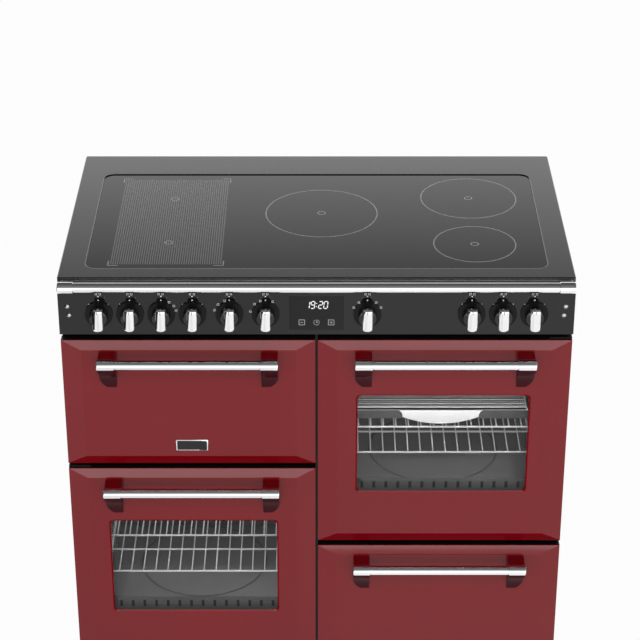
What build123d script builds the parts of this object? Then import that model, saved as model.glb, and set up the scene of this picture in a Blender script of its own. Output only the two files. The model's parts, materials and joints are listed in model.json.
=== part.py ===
from build123d import *
from math import cos, radians, sin
import os

os.makedirs("parts", exist_ok=True)

# Overall sizes, in millimetres. The front faces -Y and the floor is z = 0
range_width = 1000.0
hob_depth = 590.0
plinth_height = 43.5  # floor to the lower edge of the bottom doors
tall_door_height = 466.0
short_door_height = 280.5
stack_gap = 13.0  # between a door and the one below it
column_gap = 5.0  # between the left and right doors
fascia_gap = 17.5  # between the top doors and the control panel
fascia_height = 95.5
hob_rise = 24.0  # top of the control panel to the top of the hob

# Sheet thicknesses
panel_sheet = 1.5
frame_sheet = 2.0
cavity_sheet = 1.5
door_skin = 1.5
liner_sheet = 1.5
fascia_wall = 2.0

# Clearances
running_clearance = 0.1  # pins and shafts in their bores
seat_clearance = 0.3  # loose pieces above their seats
fit_clearance = 0.3  # plugs and studs in their holes
slot_clearance = 1.0  # hinge arms in their slots

# Carcass
frame_drop = 8.0  # front frame below the bottom doors
tray_rim = 14.0
side_flange = 14.0
plinth_setback = 80.0
plinth_inset = 12.0
plinth_floor_gap = 6.0
plinth_flange = 20.0
foot_pad_radius = 22.0
foot_pad_height = 8.0
foot_stud_radius = 5.0
foot_collar_radius = 11.0
foot_collar_height = 6.0
foot_stud_rise = 12.0  # stud above the base tray
foot_side_inset = 70.0
foot_front_inset = 125.0
foot_rear_inset = 60.0
control_margin = 28.0  # frame left around the control opening
control_lip = 14.0
vent_length = 38.0
vent_height = 5.0
vent_pitch = 53.0
vent_count = 7
rear_vent_length = 60.0
rear_vent_height = 6.0
rear_vent_pitch_x = 80.0
rear_vent_pitch_z = 18.0
rear_vent_columns = 9
rear_vent_rows = 4
rear_vent_drop = 90.0  # hob skirt to the middle of the vents

# Terminal box, recessed in the rear panel
terminal_width = 120.0
terminal_height = 90.0
terminal_depth = 50.0
terminal_wall = 3.0
terminal_recess = 22.0
terminal_side_inset = 110.0
terminal_rise = 140.0  # base tray to the middle of the box
gland_radius = 12.0
gland_bore_radius = 7.0

# Hob
hob_plate = 2.0
hob_wall = 2.0
hob_corner_radius = 4.0
hob_edge_radius = 2.0
glass_width = 900.0
glass_length = 452.0
glass_front_border = 41.0
glass_corner_radius = 22.0
glass_overlap = 8.0
glass_sheet = 4.0
coil_tray_margin = 6.0  # tray inside the glass opening
coil_tray_depth = 24.0
coil_tray_sheet = 1.5
coil_height = 18.0
coil_bore_radius = 20.0
zone_rear_y = 373.5  # zone centres, behind the hob's front edge
zone_front_y = 153.7
zone_right_x = 315.0
zone_right_rear_radius = 98.6
zone_right_front_radius = 81.4
zone_centre_x = 10.0
zone_centre_y = 300.0
zone_centre_radius = 113.8
bridge_x = -294.0
bridge_rear_y = 364.0
bridge_front_y = 157.5
bridge_radius = 94.0
board_width = 300.0
board_length = 220.0
board_sheet = 2.0
board_standoff = 6.0
board_post_radius = 4.0
board_x = 230.0
board_post_inset = 15.0
heat_sink_width = 90.0
heat_sink_length = 140.0
heat_sink_height = 24.0

# Front rail
rail_inset = 2.0  # each end inside the hob's side
rail_radius = 10.0
rail_drop = 13.0  # hob top to the rail's axis
rail_standoff = 18.0  # hob front edge to the rail's axis
rail_ferrule_radius = 11.5
rail_ferrule_length = 31.0
rail_strip_sheet = 3.0
rail_strip_height = 19.0
rail_post_radius = 4.0
rail_post_count = 5
rail_post_inset = 60.0

# Control panel
fascia_proud = 8.0  # in front of the hob's front edge
display_width = 104.0
display_height = 71.0
display_rise = 46.5  # fascia lower edge to the middle of the window
display_proud = 0.3
display_lip = 5.0
display_lip_sheet = 2.0
knob_rise = 45.0  # fascia lower edge to the knobs' axes
knob_end_inset = 78.5  # fascia end to the outer knobs' axes
knob_pitch = 60.5
oven_knob_x = 98.5
oven_knob_pitch = 70.0
bezel_radius = 27.0  # fixed dial under each knob
bezel_sheet = 4.5
knob_gap = 0.6  # bezel to the knob
knob_body_radius = 18.0
knob_body_length = 17.0
knob_grip_width = 21.0
knob_grip_height = 46.0
knob_grip_length = 13.0
knob_grip_corner = 4.0
knob_stem_radius = 4.0
knob_stem_length = 26.5
knob_hole_radius = 5.5
switch_width = 40.0
switch_height = 42.0
switch_length = 30.0

# Doors
door_depth = 26.0  # edge plane to the back of the liner
door_return = 20.0  # depth of the outer panel's folded sides
door_flange = 12.0
field_proud = 5.0  # raised field in front of the edge plane
bevel_side = 38.0
bevel_top = 19.5
seal_gap = 4.0  # liner to front frame
liner_inset = 10.0
window_width = 346.0
window_height = 227.0
window_corner_radius = 9.0
window_sheet = 4.0
window_lap = 10.0
liner_window_cut = 15.0  # the inner window is this much shorter below
liner_slot_count = 14
liner_slot_pitch = 24.5
liner_slot_width = 5.0
liner_slot_height = 9.0
seal_inner = 8.0
seal_width = 9.0

# Handles
handle_length = 353.0
handle_drop = 31.0  # door top to the bar's axis
handle_standoff = 40.0  # door field to the bar's axis
handle_radius = 9.75
ferrule_radius = 11.0
ferrule_length = 35.0
ferrule_edge = 2.0
post_width = 33.0
post_top = 7.0  # above the bar's axis
post_bottom = 60.0  # below the bar's axis
post_lip = 5.0  # under the ferrule
post_hollow = 7.0  # sweep of the post's lower side
post_foot = 4.0  # land where the post meets the door
post_taper_width = 15.0  # outer lower corner swept inwards
post_taper_height = 28.0
cut_margin = 1.0  # cuts run this far past the surface

# Hinges
pivot_depth = 11.0  # behind the door's edge plane
drop_pivot_rise = 8.0
side_pivot_inset = 10.0
pin_radius = 4.0
drop_arm_width = 6.0
drop_arm_height = 10.0
drop_arm_inset = 55.0
lug_gap = 0.6
lug_width = 5.0
lug_height = 16.0
side_bracket_sheet = 3.5
side_bracket_gap = 0.8
side_bracket_width = 44.0
side_bracket_nose = 6.0  # in front of the pin's axis
side_pin_length = 13.0
bush_width = 16.0
bush_depth = 14.0
bush_height = 15.0

# Ovens
cavity_width = 400.0
cavity_depth = 410.0
cavity_floor_rise = 40.0  # above the door's lower edge
cavity_roof_drop = 23.0  # below the door's upper edge
cavity_flange = 12.0
insulation_sheet = 20.0
element_radius = 4.0
grill_element_width = 300.0
grill_element_drop = 22.0
grill_element_front = 60.0
element_rear_gap = 70.0
element_turn_straight = 2.0  # straight left in the middle of each turn
grill_element_runs = 8
slow_element_width = 280.0
slow_element_rise = 16.0
slow_element_front = 70.0
slow_element_runs = 4
fan_cover_size = 300.0
fan_cover_depth = 40.0
fan_cover_sheet = 1.5
fan_slot_radius = 36.0
fan_slot_length = 32.0
fan_slot_width = 7.0
fan_slot_count = 12
fan_side_slot_length = 28.0
fan_side_slot_width = 6.0
fan_side_slot_spread = 250.0
fan_side_slot_pitch = 40.0
fan_side_slot_rows = 5
fan_radius = 70.0
fan_disc_sheet = 2.0
fan_blade_count = 10
fan_blade_length = 30.0
fan_blade_sheet = 2.0
fan_depth = 20.0
fan_rear_gap = 8.0
fan_hub_radius = 12.0
fan_shaft_radius = 4.0
fan_shaft_length = 40.0
ring_element_radius = 92.0
ring_leg_angle = 12.0
ring_leg_radius = 3.0
motor_radius = 36.0
motor_length = 60.0
motor_bore_extra = 1.0
motor_gap = 2.0

# Shelves and their runners
runner_post_radius = 3.0
runner_rod_radius = 2.5
runner_first = 60.0  # above the oven floor
runner_pitch = 30.0
runner_count = 9
runner_overrun = 12.0
runner_front = 36.0  # behind the oven's mouth
runner_length = 322.0
shelf_rod_radius = 3.0
shelf_bar_radius = 2.7
shelf_wire_radius = 2.0
shelf_front = 43.0  # behind the oven's mouth
shelf_depth = 318.0
shelf_half_width = 190.0
shelf_wire_count = 14
shelf_wire_pitch = 25.6
shelf_cross_step = 82.0
lower_shelf_level = 2
main_upper_shelf_level = 5
second_upper_shelf_level = 4
pan_level = 5
pan_half_width = 182.0
pan_depth = 270.0
pan_height = 20.0
pan_rim_rise = 18.0  # above the lips that ride on the runners
pan_lip_sheet = 2.0
pan_wall = 1.5
pan_front = 34.0  # behind the oven's mouth
pan_plate_width = 172.0
pan_plate_flare = 8.5
pan_plate_hollow = 15.0
pan_plate_belly = 16.0
pan_plate_sheet = 2.0
trivet_rod_radius = 2.0
trivet_wire_radius = 1.25
trivet_wire_count = 18
trivet_inset = 8.0

# Places worked out from the sizes above
half_width = range_width / 2
inner_half = half_width - panel_sheet
inner_x = (-inner_half, inner_half)
handle_reach = field_proud + handle_standoff + ferrule_radius
hob_front_y = (handle_reach - hob_depth) / 2  # centres the whole depth on y = 0
rear_y = hob_front_y + hob_depth
hob_centre_y = hob_front_y + hob_depth / 2
door_y = hob_front_y
field_y = door_y - field_proud
liner_back_y = door_y + door_depth
frame_y = liner_back_y + seal_gap
frame_back_y = frame_y + frame_sheet
cavity_back_y = frame_back_y + cavity_depth
frame_bottom_z = plinth_height - frame_drop
tray_z = plinth_height
door_top_z = plinth_height + tall_door_height + stack_gap + short_door_height
fascia_z = (door_top_z + fascia_gap, door_top_z + fascia_gap + fascia_height)
fascia_y = (hob_front_y - fascia_proud, frame_y)
hob_top_z = fascia_z[1] + hob_rise
glass_top_z = hob_top_z - hob_plate
tray_floor_z = glass_top_z - glass_sheet - coil_tray_depth
pivot_y = door_y + pivot_depth


def mid(span):
    return (span[0] + span[1]) / 2


def extent(span):
    return span[1] - span[0]


def grow(span, by):
    return (span[0] - by, span[1] + by)


def around(centre, half):
    return (centre - half, centre + half)


def on_side(span, side):
    return span if side > 0 else (-span[1], -span[0])


def block(x, y, z, mode=Mode.ADD):
    with Locations((mid(x), mid(y), mid(z))):
        Box(extent(x), extent(y), extent(z), mode=mode)


def rod_x(x, y, z, radius, mode=Mode.ADD):
    with Locations(Location((mid(x), y, z), (0, 90, 0))):
        Cylinder(radius, extent(x), mode=mode)


def rod_y(x, y, z, radius, mode=Mode.ADD):
    with Locations(Location((x, mid(y), z), (90, 0, 0))):
        Cylinder(radius, extent(y), mode=mode)


def rod_z(x, y, z, radius, mode=Mode.ADD):
    with Locations((x, y, mid(z))):
        Cylinder(radius, extent(z), mode=mode)


def front_plane(x, y, z):
    # Local x is the cooker's X, local y its Z, and the normal points out of the front
    return Plane(origin=(x, y, z), x_dir=(1, 0, 0), z_dir=(0, -1, 0))


def save(part, name):
    part.label = name
    export_step(part, f"parts/{name}.step")


def gather(*pieces):
    return Compound([solid for piece in pieces for solid in piece.part.solids()])


def layout(side, bottom, height, drops, window):
    x = on_side((column_gap / 2, half_width), side)
    z = (bottom, bottom + height)
    oven_z = (z[0] + cavity_floor_rise, z[1] - cavity_roof_drop)
    oven_x = around(mid(x), cavity_width / 2)
    place = {"side": side, "x": x, "z": z, "oven_x": oven_x, "oven_z": oven_z}
    return {**place, "drops": drops, "window": window}


# The two columns: a short drop-down door and a tall side-hung door in each
upper_left_z = plinth_height + tall_door_height + stack_gap
upper_right_z = plinth_height + short_door_height + stack_gap
doors = {
    "grill": layout(-1, upper_left_z, short_door_height, drops=True, window=False),
    "main": layout(-1, plinth_height, tall_door_height, drops=False, window=True),
    "second": layout(1, upper_right_z, tall_door_height, drops=False, window=True),
    "slow": layout(1, plinth_height, short_door_height, drops=True, window=False),
}
fan_ovens = ("main", "second")


# Carcass: base tray, feet, plinth, side panels, rear panel, front frame and partition
foot_points = [
    (side * (half_width - foot_side_inset), y)
    for side in (-1, 1)
    for y in (hob_front_y + foot_front_inset, rear_y - foot_rear_inset)
]
tray_y = (frame_back_y, rear_y - panel_sheet)

with BuildPart() as base_tray:
    block(inner_x, tray_y, (tray_z, tray_z + tray_rim))
    hollow_x = grow(inner_x, -panel_sheet)
    block(hollow_x, grow(tray_y, -panel_sheet), (tray_z + panel_sheet, tray_z + tray_rim), Mode.SUBTRACT)
    for foot_x, foot_y in foot_points:
        hole_radius = foot_stud_radius + fit_clearance
        rod_z(foot_x, foot_y, (tray_z, tray_z + panel_sheet), hole_radius, Mode.SUBTRACT)
save(base_tray.part, "base_tray")

with BuildPart() as levelling_feet:
    for foot_x, foot_y in foot_points:
        rod_z(foot_x, foot_y, (0, foot_pad_height), foot_pad_radius)
        rod_z(foot_x, foot_y, (0, tray_z + panel_sheet + foot_stud_rise), foot_stud_radius)
        rod_z(foot_x, foot_y, (tray_z - foot_collar_height, tray_z), foot_collar_radius)
save(levelling_feet.part, "levelling_feet")

with BuildPart() as plinth:
    plinth_x = grow(inner_x, -plinth_inset)
    plinth_y = hob_front_y + plinth_setback
    block(plinth_x, (plinth_y, plinth_y + panel_sheet), (plinth_floor_gap, tray_z))
    block(plinth_x, (plinth_y, plinth_y + plinth_flange), (tray_z - panel_sheet, tray_z))
save(plinth.part, "plinth")

with BuildPart() as side_panels:
    for side in (-1, 1):
        block(on_side((inner_half, half_width), side), (frame_y, rear_y), (frame_bottom_z, fascia_z[1]))
        flange_x = on_side((inner_half - side_flange, inner_half), side)
        block(flange_x, tray_y, (fascia_z[1] - panel_sheet, fascia_z[1]))
save(side_panels.part, "side_panels")

terminal_x = around(half_width - terminal_side_inset, terminal_width / 2)
terminal_z = around(tray_z + terminal_rise, terminal_height / 2)

with BuildPart() as rear_panel:
    block(inner_x, (rear_y - panel_sheet, rear_y), (tray_z, fascia_z[1]))
    with BuildSketch(front_plane(0, rear_y, fascia_z[1] - rear_vent_drop)):
        with GridLocations(rear_vent_pitch_x, rear_vent_pitch_z, rear_vent_columns, rear_vent_rows):
            SlotOverall(rear_vent_length, rear_vent_height)
    extrude(amount=panel_sheet, mode=Mode.SUBTRACT)
    mouth_x = grow(terminal_x, -terminal_wall)
    block(mouth_x, (rear_y - panel_sheet, rear_y), grow(terminal_z, -terminal_wall), Mode.SUBTRACT)
save(rear_panel.part, "rear_panel")

with BuildPart() as terminal_box:
    terminal_y = (rear_y - panel_sheet - terminal_depth, rear_y - panel_sheet)
    block(terminal_x, terminal_y, terminal_z)
    recess_y = (rear_y - terminal_recess, rear_y)
    block(grow(terminal_x, -terminal_wall), recess_y, grow(terminal_z, -terminal_wall), Mode.SUBTRACT)
    inside_y = (terminal_y[0] + terminal_wall, recess_y[0] - terminal_wall)
    block(grow(terminal_x, -terminal_wall), inside_y, grow(terminal_z, -terminal_wall), Mode.SUBTRACT)
    rod_y(mid(terminal_x), recess_y, mid(terminal_z), gland_radius)
    rod_y(mid(terminal_x), (inside_y[1], rear_y), mid(terminal_z), gland_bore_radius, Mode.SUBTRACT)
save(terminal_box.part, "terminal_box")

with BuildPart() as front_frame:
    frame_span_y = (frame_y, frame_back_y)
    block(inner_x, frame_span_y, (frame_bottom_z, fascia_z[1]))
    for door in doors.values():
        block(door["oven_x"], frame_span_y, door["oven_z"], Mode.SUBTRACT)
    block(grow(inner_x, -control_margin), frame_span_y, grow(fascia_z, -control_lip), Mode.SUBTRACT)
    for door in doors.values():
        # Vent slots in the gap above each door
        vent_z = door["z"][1] + (fascia_gap if door["z"][1] == door_top_z else stack_gap) / 2
        with BuildSketch(front_plane(mid(door["x"]), frame_back_y, vent_z)):
            with GridLocations(vent_pitch, vent_pitch, vent_count, 1):
                SlotOverall(vent_length, vent_height)
        extrude(amount=frame_sheet, mode=Mode.SUBTRACT)
save(front_frame.part, "front_frame")

with BuildPart() as centre_partition:
    block(around(0, panel_sheet / 2), tray_y, (tray_z + tray_rim, door_top_z))
    block(around(0, panel_sheet / 2), grow(tray_y, -panel_sheet), (tray_z + panel_sheet, door_top_z))
save(centre_partition.part, "centre_partition")


# Hob: frame, glass, coil tray, coils and power boards
glass_centre_y = hob_front_y + glass_front_border + glass_length / 2
zones = (
    (bridge_x, bridge_front_y, bridge_radius),
    (bridge_x, bridge_rear_y, bridge_radius),
    (zone_centre_x, zone_centre_y, zone_centre_radius),
    (zone_right_x, zone_rear_y, zone_right_rear_radius),
    (zone_right_x, zone_front_y, zone_right_front_radius),
)

with BuildPart() as hob_frame:
    with BuildSketch(Plane.XY.offset(fascia_z[1])):
        with Locations((0, hob_centre_y)):
            RectangleRounded(range_width, hob_depth, hob_corner_radius)
    extrude(amount=hob_rise)
    fillet(hob_frame.faces().sort_by(Axis.Z)[-1].edges(), hob_edge_radius)
    hollow_x = grow((-half_width, half_width), -hob_wall)
    hollow_y = grow((hob_front_y, rear_y), -hob_wall)
    block(hollow_x, hollow_y, (fascia_z[1], glass_top_z), Mode.SUBTRACT)
    with BuildSketch(Plane.XY.offset(glass_top_z)):
        with Locations((0, glass_centre_y)):
            RectangleRounded(glass_width, glass_length, glass_corner_radius)
    extrude(amount=hob_plate, mode=Mode.SUBTRACT)
save(hob_frame.part, "hob_frame")

with BuildPart() as hob_glass:
    with BuildSketch(Plane.XY.offset(glass_top_z - glass_sheet)):
        with Locations((0, glass_centre_y)):
            full_width = glass_width + 2 * glass_overlap
            full_length = glass_length + 2 * glass_overlap
            RectangleRounded(full_width, full_length, glass_corner_radius + glass_overlap)
    extrude(amount=glass_sheet)
save(hob_glass.part, "hob_glass")

coil_tray_x = around(0, glass_width / 2 - coil_tray_margin)
coil_tray_y = around(glass_centre_y, glass_length / 2 - coil_tray_margin)

with BuildPart() as coil_tray:
    block(coil_tray_x, coil_tray_y, (tray_floor_z, tray_floor_z + coil_tray_depth))
    tray_inside_z = (tray_floor_z + coil_tray_sheet, tray_floor_z + coil_tray_depth)
    tray_inside_x = grow(coil_tray_x, -coil_tray_sheet)
    block(tray_inside_x, grow(coil_tray_y, -coil_tray_sheet), tray_inside_z, Mode.SUBTRACT)
save(coil_tray.part, "coil_tray")

with BuildPart() as induction_coils:
    with BuildSketch(Plane.XY.offset(tray_floor_z + coil_tray_sheet)):
        for zone_x, zone_y, zone_radius in zones:
            with Locations((zone_x, hob_front_y + zone_y)):
                Circle(zone_radius)
                Circle(coil_bore_radius, mode=Mode.SUBTRACT)
    extrude(amount=coil_height)
save(induction_coils.part, "induction_coils")

with BuildPart() as power_boards:
    board_z = (tray_floor_z - board_standoff - board_sheet, tray_floor_z - board_standoff)
    for board_side in (-1, 1):
        board_span_x = around(board_side * board_x, board_width / 2)
        board_span_y = around(glass_centre_y, board_length / 2)
        block(board_span_x, board_span_y, board_z)
        sink_z = (board_z[0] - heat_sink_height, board_z[0])
        sink_x = around(mid(board_span_x), heat_sink_width / 2)
        block(sink_x, around(glass_centre_y, heat_sink_length / 2), sink_z)
        for post_x in grow(board_span_x, -board_post_inset):
            for post_y in grow(board_span_y, -board_post_inset):
                rod_z(post_x, post_y, (board_z[1], tray_floor_z), board_post_radius)
save(power_boards.part, "power_boards")


# Round bars with a ferrule on each end: the front rail and the four handles
def round_bar(x, y, z, bar_radius, end_radius, end_length):
    with BuildPart() as bar:
        rod_x((x[0] + end_length, x[1] - end_length), y, z, bar_radius)
    with BuildPart() as ferrules:
        for ferrule_x in ((x[0], x[0] + end_length), (x[1] - end_length, x[1])):
            rod_x(ferrule_x, y, z, end_radius)
        fillet(ferrules.edges().filter_by(GeomType.CIRCLE), ferrule_edge)
    return bar, ferrules


rail_y = hob_front_y - rail_standoff
rail_z = hob_top_z - rail_drop
rail_x = around(0, half_width - rail_inset)
rail_bar, rail_ferrules = round_bar(
    rail_x, rail_y, rail_z, rail_radius, rail_ferrule_radius, rail_ferrule_length
)

with BuildPart() as rail_mount:
    strip_x = grow(rail_x, -hob_corner_radius)
    block(strip_x, (hob_front_y - rail_strip_sheet, hob_front_y), around(rail_z, rail_strip_height / 2))
    post_step = (range_width - 2 * rail_post_inset) / (rail_post_count - 1)
    for post in range(rail_post_count):
        post_x = -half_width + rail_post_inset + post * post_step
        rod_y(post_x, (rail_y, hob_front_y - rail_strip_sheet), rail_z, rail_post_radius)
    rod_x(rail_x, rail_y, rail_z, rail_radius, Mode.SUBTRACT)
save(gather(rail_bar, rail_ferrules, rail_mount), "front_rail")


# Control panel: fascia, clock window, switches and knobs
knob_z = fascia_z[0] + knob_rise
knob_places = [
    *(knob_end_inset + step * knob_pitch - half_width for step in range(4)),
    -oven_knob_x - oven_knob_pitch,
    -oven_knob_x,
    oven_knob_x,
    *(half_width - knob_end_inset - step * knob_pitch for step in (2, 1, 0)),
]
fascia_back_y = fascia_y[0] + fascia_wall
bezel_y = fascia_y[0] - bezel_sheet
display_x = around(0, display_width / 2)
display_z = around(fascia_z[0] + display_rise, display_height / 2)

with BuildPart() as control_panel:
    fascia_x = (-half_width, half_width)
    block(fascia_x, fascia_y, fascia_z)
    inside_y = (fascia_back_y, fascia_y[1])
    block(grow(fascia_x, -fascia_wall), inside_y, grow(fascia_z, -fascia_wall), Mode.SUBTRACT)
    block(grow(display_x, fit_clearance), fascia_y, grow(display_z, fit_clearance), Mode.SUBTRACT)
    for knob_x in knob_places:
        rod_y(knob_x, (bezel_y, fascia_y[0]), knob_z, bezel_radius)
        rod_y(knob_x, (bezel_y, fascia_back_y), knob_z, knob_hole_radius, Mode.SUBTRACT)
save(control_panel.part, "control_panel")

with BuildPart() as display_window:
    block(display_x, (fascia_y[0] - display_proud, fascia_back_y), display_z)
    lip_y = (fascia_back_y, fascia_back_y + display_lip_sheet)
    block(grow(display_x, display_lip), lip_y, grow(display_z, display_lip))
save(display_window.part, "display_window")

stem_front_y = bezel_y - knob_gap
stem_y = (stem_front_y, stem_front_y + knob_stem_length)

with BuildPart() as control_switches:
    for knob_x in knob_places:
        switch_y = (fascia_back_y, fascia_back_y + switch_length)
        block(around(knob_x, switch_width / 2), switch_y, around(knob_z, switch_height / 2))
        bore_y = (fascia_back_y, stem_y[1] + fit_clearance)
        rod_y(knob_x, bore_y, knob_z, knob_stem_radius + running_clearance, Mode.SUBTRACT)
save(control_switches.part, "control_switches")

for number, knob_x in enumerate(knob_places, start=1):
    face = front_plane(knob_x, stem_front_y, knob_z)
    with BuildPart() as knob:
        rod_y(knob_x, stem_y, knob_z, knob_stem_radius)
        with BuildSketch(face):
            Circle(knob_body_radius)
        extrude(amount=knob_body_length)
        with BuildSketch(face.offset(knob_body_length)):
            RectangleRounded(knob_grip_width, knob_grip_height, knob_grip_corner)
        extrude(amount=knob_grip_length)
    save(knob.part, f"knob_{number}")


# Ovens: cavities, insulation, elements, fans and their covers and motors
def fan_centre(door):
    return mid(door["oven_x"]), mid(door["oven_z"])


for name, door in doors.items():
    with BuildPart() as cavity:
        back_y = cavity_back_y + cavity_sheet
        block(grow(door["oven_x"], cavity_sheet), (frame_back_y, back_y), grow(door["oven_z"], cavity_sheet))
        rim = cavity_sheet + cavity_flange
        rim_y = (frame_back_y, frame_back_y + cavity_sheet)
        block(grow(door["oven_x"], rim), rim_y, grow(door["oven_z"], rim))
        block(door["oven_x"], (frame_back_y, cavity_back_y), door["oven_z"], Mode.SUBTRACT)
        if name in fan_ovens:
            fan_x, fan_z = fan_centre(door)
            hole_radius = fan_shaft_radius + fit_clearance
            rod_y(fan_x, (cavity_back_y, back_y), fan_z, hole_radius, Mode.SUBTRACT)
    save(cavity.part, f"{name}_oven_cavity" if name != "grill" else "grill_cavity")

with BuildPart() as insulation:
    wool_y = (frame_back_y + cavity_sheet, cavity_back_y + cavity_sheet + insulation_sheet)
    for name, door in doors.items():
        wall = cavity_sheet + insulation_sheet
        block(grow(door["oven_x"], wall), wool_y, grow(door["oven_z"], wall))
        core_y = (wool_y[0], cavity_back_y + cavity_sheet)
        block(grow(door["oven_x"], cavity_sheet), core_y, grow(door["oven_z"], cavity_sheet), Mode.SUBTRACT)
        if name in fan_ovens:
            fan_x, fan_z = fan_centre(door)
            rod_y(fan_x, (core_y[1], wool_y[1]), fan_z, motor_radius + motor_gap, Mode.SUBTRACT)
save(insulation.part, "insulation")


def looped_element(door, width, front, z, runs):
    # A tube that runs out from the back wall, to and fro across the oven, and back into the wall
    step = width / (runs - 1)
    left = mid(door["oven_x"]) - width / 2
    front_y = frame_back_y + front
    rear_turn_y = cavity_back_y - element_rear_gap
    points = [(left, cavity_back_y, z)]
    for run in range(runs):
        run_x = left + run * step
        ends = (front_y, rear_turn_y) if run % 2 else (rear_turn_y, front_y)
        points += [(run_x, end_y, z) for end_y in ends]
    points = [points[0], *points[2:-1], (left + width, cavity_back_y, z)]
    with BuildPart() as element:
        with BuildLine() as path:
            FilletPolyline(*points, radius=step / 2 - element_turn_straight)
        with BuildSketch(Plane(origin=points[0], z_dir=(0, -1, 0))):
            Circle(element_radius)
        sweep(path=path.wire())
    return element


grill_element_z = doors["grill"]["oven_z"][1] - grill_element_drop
slow_element_z = doors["slow"]["oven_z"][0] + slow_element_rise
grill_element = looped_element(
    doors["grill"], grill_element_width, grill_element_front, grill_element_z, grill_element_runs
)
slow_element = looped_element(
    doors["slow"], slow_element_width, slow_element_front, slow_element_z, slow_element_runs
)
ring_y = cavity_back_y - fan_cover_depth / 2

with BuildPart() as ring_elements:
    for name in fan_ovens:
        fan_x, fan_z = fan_centre(doors[name])
        with Locations(Location((fan_x, ring_y, fan_z), (90, 0, 0))):
            Torus(ring_element_radius, element_radius)
        for angle in (-ring_leg_angle, ring_leg_angle):
            leg_x = fan_x + ring_element_radius * sin(radians(angle))
            leg_z = fan_z - ring_element_radius * cos(radians(angle))
            rod_y(leg_x, (ring_y, cavity_back_y), leg_z, ring_leg_radius)
save(gather(grill_element, slow_element, ring_elements), "heating_elements")

fan_cover_y = (cavity_back_y - fan_cover_depth, cavity_back_y)

with BuildPart() as fan_covers:
    for name in fan_ovens:
        fan_x, fan_z = fan_centre(doors[name])
        cover_x = around(fan_x, fan_cover_size / 2)
        cover_z = around(fan_z, fan_cover_size / 2)
        block(cover_x, fan_cover_y, cover_z)
        hollow_y = (fan_cover_y[0] + fan_cover_sheet, fan_cover_y[1])
        block(grow(cover_x, -fan_cover_sheet), hollow_y, grow(cover_z, -fan_cover_sheet), Mode.SUBTRACT)
        with BuildSketch(front_plane(fan_x, hollow_y[0], fan_z)):
            with PolarLocations(fan_slot_radius, fan_slot_count):
                SlotOverall(fan_slot_length, fan_slot_width)
            with GridLocations(fan_side_slot_spread, fan_side_slot_pitch, 2, fan_side_slot_rows):
                SlotOverall(fan_side_slot_length, fan_side_slot_width)
        extrude(amount=fan_cover_sheet, mode=Mode.SUBTRACT)
save(fan_covers.part, "fan_covers")

fan_y = (cavity_back_y - fan_rear_gap - fan_depth, cavity_back_y - fan_rear_gap)
shaft_y = (fan_y[1], fan_y[1] + fan_shaft_length)

with BuildPart() as fan_motors:
    for name in fan_ovens:
        fan_x, fan_z = fan_centre(doors[name])
        motor_y = (cavity_back_y + cavity_sheet, cavity_back_y + cavity_sheet + motor_length)
        rod_y(fan_x, motor_y, fan_z, motor_radius)
        bore_y = (motor_y[0], shaft_y[1] + motor_bore_extra)
        rod_y(fan_x, bore_y, fan_z, fan_shaft_radius + running_clearance, Mode.SUBTRACT)
save(fan_motors.part, "fan_motors")

for name in fan_ovens:
    fan_x, fan_z = fan_centre(doors[name])
    with BuildPart() as fan:
        rod_y(fan_x, (fan_y[1] - fan_disc_sheet, fan_y[1]), fan_z, fan_radius)
        rod_y(fan_x, fan_y, fan_z, fan_hub_radius)
        rod_y(fan_x, shaft_y, fan_z, fan_shaft_radius)
        with BuildSketch(front_plane(fan_x, fan_y[1], fan_z)):
            with PolarLocations(fan_radius - fan_blade_length / 2, fan_blade_count):
                Rectangle(fan_blade_length, fan_blade_sheet)
        extrude(amount=fan_depth)
    save(fan.part, f"{name}_oven_fan")


# Shelf runners, shelves and the grill pan
mouth_y = frame_back_y
runner_y = (mouth_y + runner_front, mouth_y + runner_front + runner_length)
runner_post_inset = runner_post_radius + seat_clearance
runner_rod_inset = runner_post_inset + runner_post_radius + runner_rod_radius - seat_clearance


def runner_z(door, level):
    return door["oven_z"][0] + runner_first + level * runner_pitch


def shelf_z(door, level):
    return runner_z(door, level) + runner_rod_radius + seat_clearance + shelf_rod_radius


with BuildPart() as shelf_runners:
    for name in fan_ovens:
        door = doors[name]
        for side in (-1, 1):
            wall_x = mid(door["oven_x"]) + side * cavity_width / 2
            rack_z = grow((runner_z(door, 0), runner_z(door, runner_count - 1)), runner_overrun)
            for post_y in grow(runner_y, -runner_overrun):
                rod_z(wall_x - side * runner_post_inset, post_y, rack_z, runner_post_radius)
            for level in range(runner_count):
                rod_y(wall_x - side * runner_rod_inset, runner_y, runner_z(door, level), runner_rod_radius)
save(shelf_runners.part, "shelf_runners")

shelf_y = (mouth_y + shelf_front, mouth_y + shelf_front + shelf_depth)


def wire_shelf(door, level):
    z = shelf_z(door, level)
    centre_x = mid(door["oven_x"])
    span_x = around(centre_x, shelf_half_width)
    with BuildPart() as shelf:
        for bar_y in (shelf_y[0], shelf_y[0] + shelf_cross_step, shelf_y[1]):
            rod_x(span_x, bar_y, z, shelf_bar_radius)
        for rail_end_x in span_x:
            rod_y(rail_end_x, grow(shelf_y, shelf_rod_radius), z, shelf_rod_radius)
        for wire in range(shelf_wire_count):
            wire_x = centre_x + (wire - (shelf_wire_count - 1) / 2) * shelf_wire_pitch
            rod_y(wire_x, shelf_y, z, shelf_wire_radius)
    return shelf


shelves = {
    "main_shelf_lower": ("main", lower_shelf_level),
    "main_shelf_upper": ("main", main_upper_shelf_level),
    "second_shelf_lower": ("second", lower_shelf_level),
    "second_shelf_upper": ("second", second_upper_shelf_level),
}
for shelf_name, (oven, level) in shelves.items():
    save(wire_shelf(doors[oven], level).part, shelf_name)

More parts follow.
